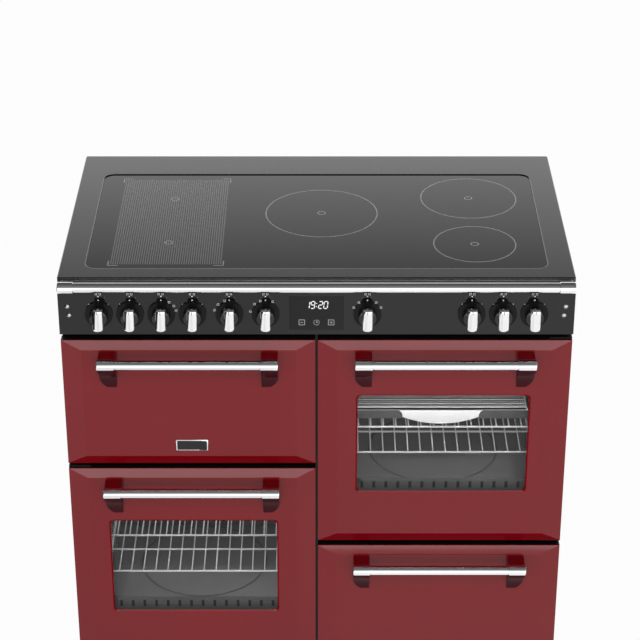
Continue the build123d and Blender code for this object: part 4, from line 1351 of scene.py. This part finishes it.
def darkFlag():
    # A black card to the left, which only gloss sees, so that the knobs show their roundness
    form = bmesh.new()
    x, near, far, height = [flag[key] for key in ("x", "near", "far", "height")]
    corners = ((x, near, 0), (x, far, 0), (x, far, height), (x, near, height))
    form.faces.new([form.verts.new(corner) for corner in corners])
    made = finish("flagCloth", {"Specular IOR Level": 0.0, "Roughness": 1.0})
    surface(made, {"Base Color": made.blend(made.noise(300.0), grey(0.02), grey(0.03))})
    card = asObject("darkFlag", form, made.material)
    card.visible_camera = card.visible_diffuse = card.visible_shadow = False


def studioSky():
    world = bpy.data.worlds.new("studioSky")
    world.use_nodes = True
    scene.world = world
    sky = Shades(world.node_tree)
    direction = sky.node("ShaderNodeTexCoord", output="Generated")
    away, up = [sky.node("ShaderNodeSeparateXYZ", None, {0: direction}, axis) for axis in ("Y", "Z")]
    height = sky.node("ShaderNodeMath", {"operation": "ABSOLUTE"}, {0: up})
    turn = sky.node("ShaderNodeMath", {"operation": "ARCTAN2"}, {0: height, 1: 0.0 - away})
    level = sky.node("ShaderNodeValToRGB", {"stops": skyStops}, {0: turn / math.pi})
    direct = sky.node("ShaderNodeLightPath", output="Is Camera Ray")
    light = sky.node("ShaderNodeBackground", None, {"Color": level, "Strength": stage["worldStrength"]})
    plain = sky.node("ShaderNodeBackground", None, {"Color": grey(1.0), "Strength": 1.0})
    both = sky.node("ShaderNodeMixShader", None, {0: direct, 1: light, 2: plain})
    sky.feed(world.node_tree.nodes["World Output"].inputs["Surface"], both)


lamp = {
    "size": (0.34, 0.28),
    "back": 0.16,
    "rise": {"main": 0.80, "second": 0.505},
    "power": {"main": 0.30, "second": 0.11},
    "panSize": (0.36, 0.03),
    "panRise": 0.02,
    "panPower": 0.10,
    # Beams through the windows: distance, size, lean from straight down, spread and power
    "beamReach": 0.5,
    "beamSize": (0.335, 0.14),
    "beamLean": 45,
    "beamSpread": 4,
    "beamPower": 0.06,
}


def softLight(name, size, power, place, lean=0, spread=180, gloss=True):
    # A rectangle of light that looks down, or to the rear with a lean of 90
    light = bpy.data.lights.new(name, "AREA")
    light.shape = "RECTANGLE"
    light.size, light.size_y = size
    light.energy = power
    light.spread = math.radians(spread)
    made = bpy.data.objects.new(name, light)
    made.location = place
    made.rotation_euler = (math.radians(lean), 0, 0)
    made.visible_camera = False
    made.visible_glossy = gloss
    scene.collection.objects.link(made)


def ovenLamps():
    # One in each fan oven above its shelves, one through its window, and one in front of the grill pan
    lean = math.radians(lamp["beamLean"])
    for name, rise in lamp["rise"].items():
        cavity, pane = f"{name}_oven_cavity", f"{name}_door_glass"
        low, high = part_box(cavity)
        place = (centreOf(cavity).x, low.y + lamp["back"], low.z + rise * (high.z - low.z))
        softLight(f"{name}OvenLamp", lamp["size"], lamp["power"][name], place)
        x, _, z = centreOf(pane)
        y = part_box(pane)[0].y - lamp["beamReach"] * math.sin(lean)
        place = (x, y, z + lamp["beamReach"] * math.cos(lean))
        turned = {"lean": lamp["beamLean"], "spread": lamp["beamSpread"]}
        softLight(f"{name}WindowBeam", lamp["beamSize"], lamp["beamPower"], place, **turned)
    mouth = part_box("second_oven_cavity")[0].y
    place = (centreOf("grill_pan").x, mouth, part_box("grill_pan")[1].z + lamp["panRise"])
    softLight("panLamp", lamp["panSize"], lamp["panPower"], place, lean=90)


softbox = {"size": (6.0, 0.43), "place": (0.0, -3.6, 0.235), "power": 19.0}
fill = {"size": (3.0, 1.2), "place": (0.0, -4.2, 4.6), "power": 104.0, "lean": 44}


def frontLights():
    # A low wide strip in front, which the upper bevels of the doors mirror, and a fill that no gloss shows
    softLight("frontSoftbox", softbox["size"], softbox["power"], softbox["place"], lean=90)
    softLight("frontFill", fill["size"], fill["power"], fill["place"], lean=fill["lean"], gloss=False)


view = {"place": (0.0068, -3.930, 2.771), "pitch": 62.3, "lens": 119.7, "sensor": 36.0}


def photoCamera():
    data = bpy.data.cameras.new("photoCamera")
    data.lens = view["lens"]
    data.sensor_width = view["sensor"]
    made = bpy.data.objects.new("photoCamera", data)
    made.location = view["place"]
    made.rotation_euler = (math.radians(view["pitch"]), 0, 0)
    scene.collection.objects.link(made)
    scene.camera = made


studioFloor()
darkFlag()
studioSky()
frontLights()
ovenLamps()
photoCamera()
scene.view_settings.view_transform = "Standard"
print("stage set")
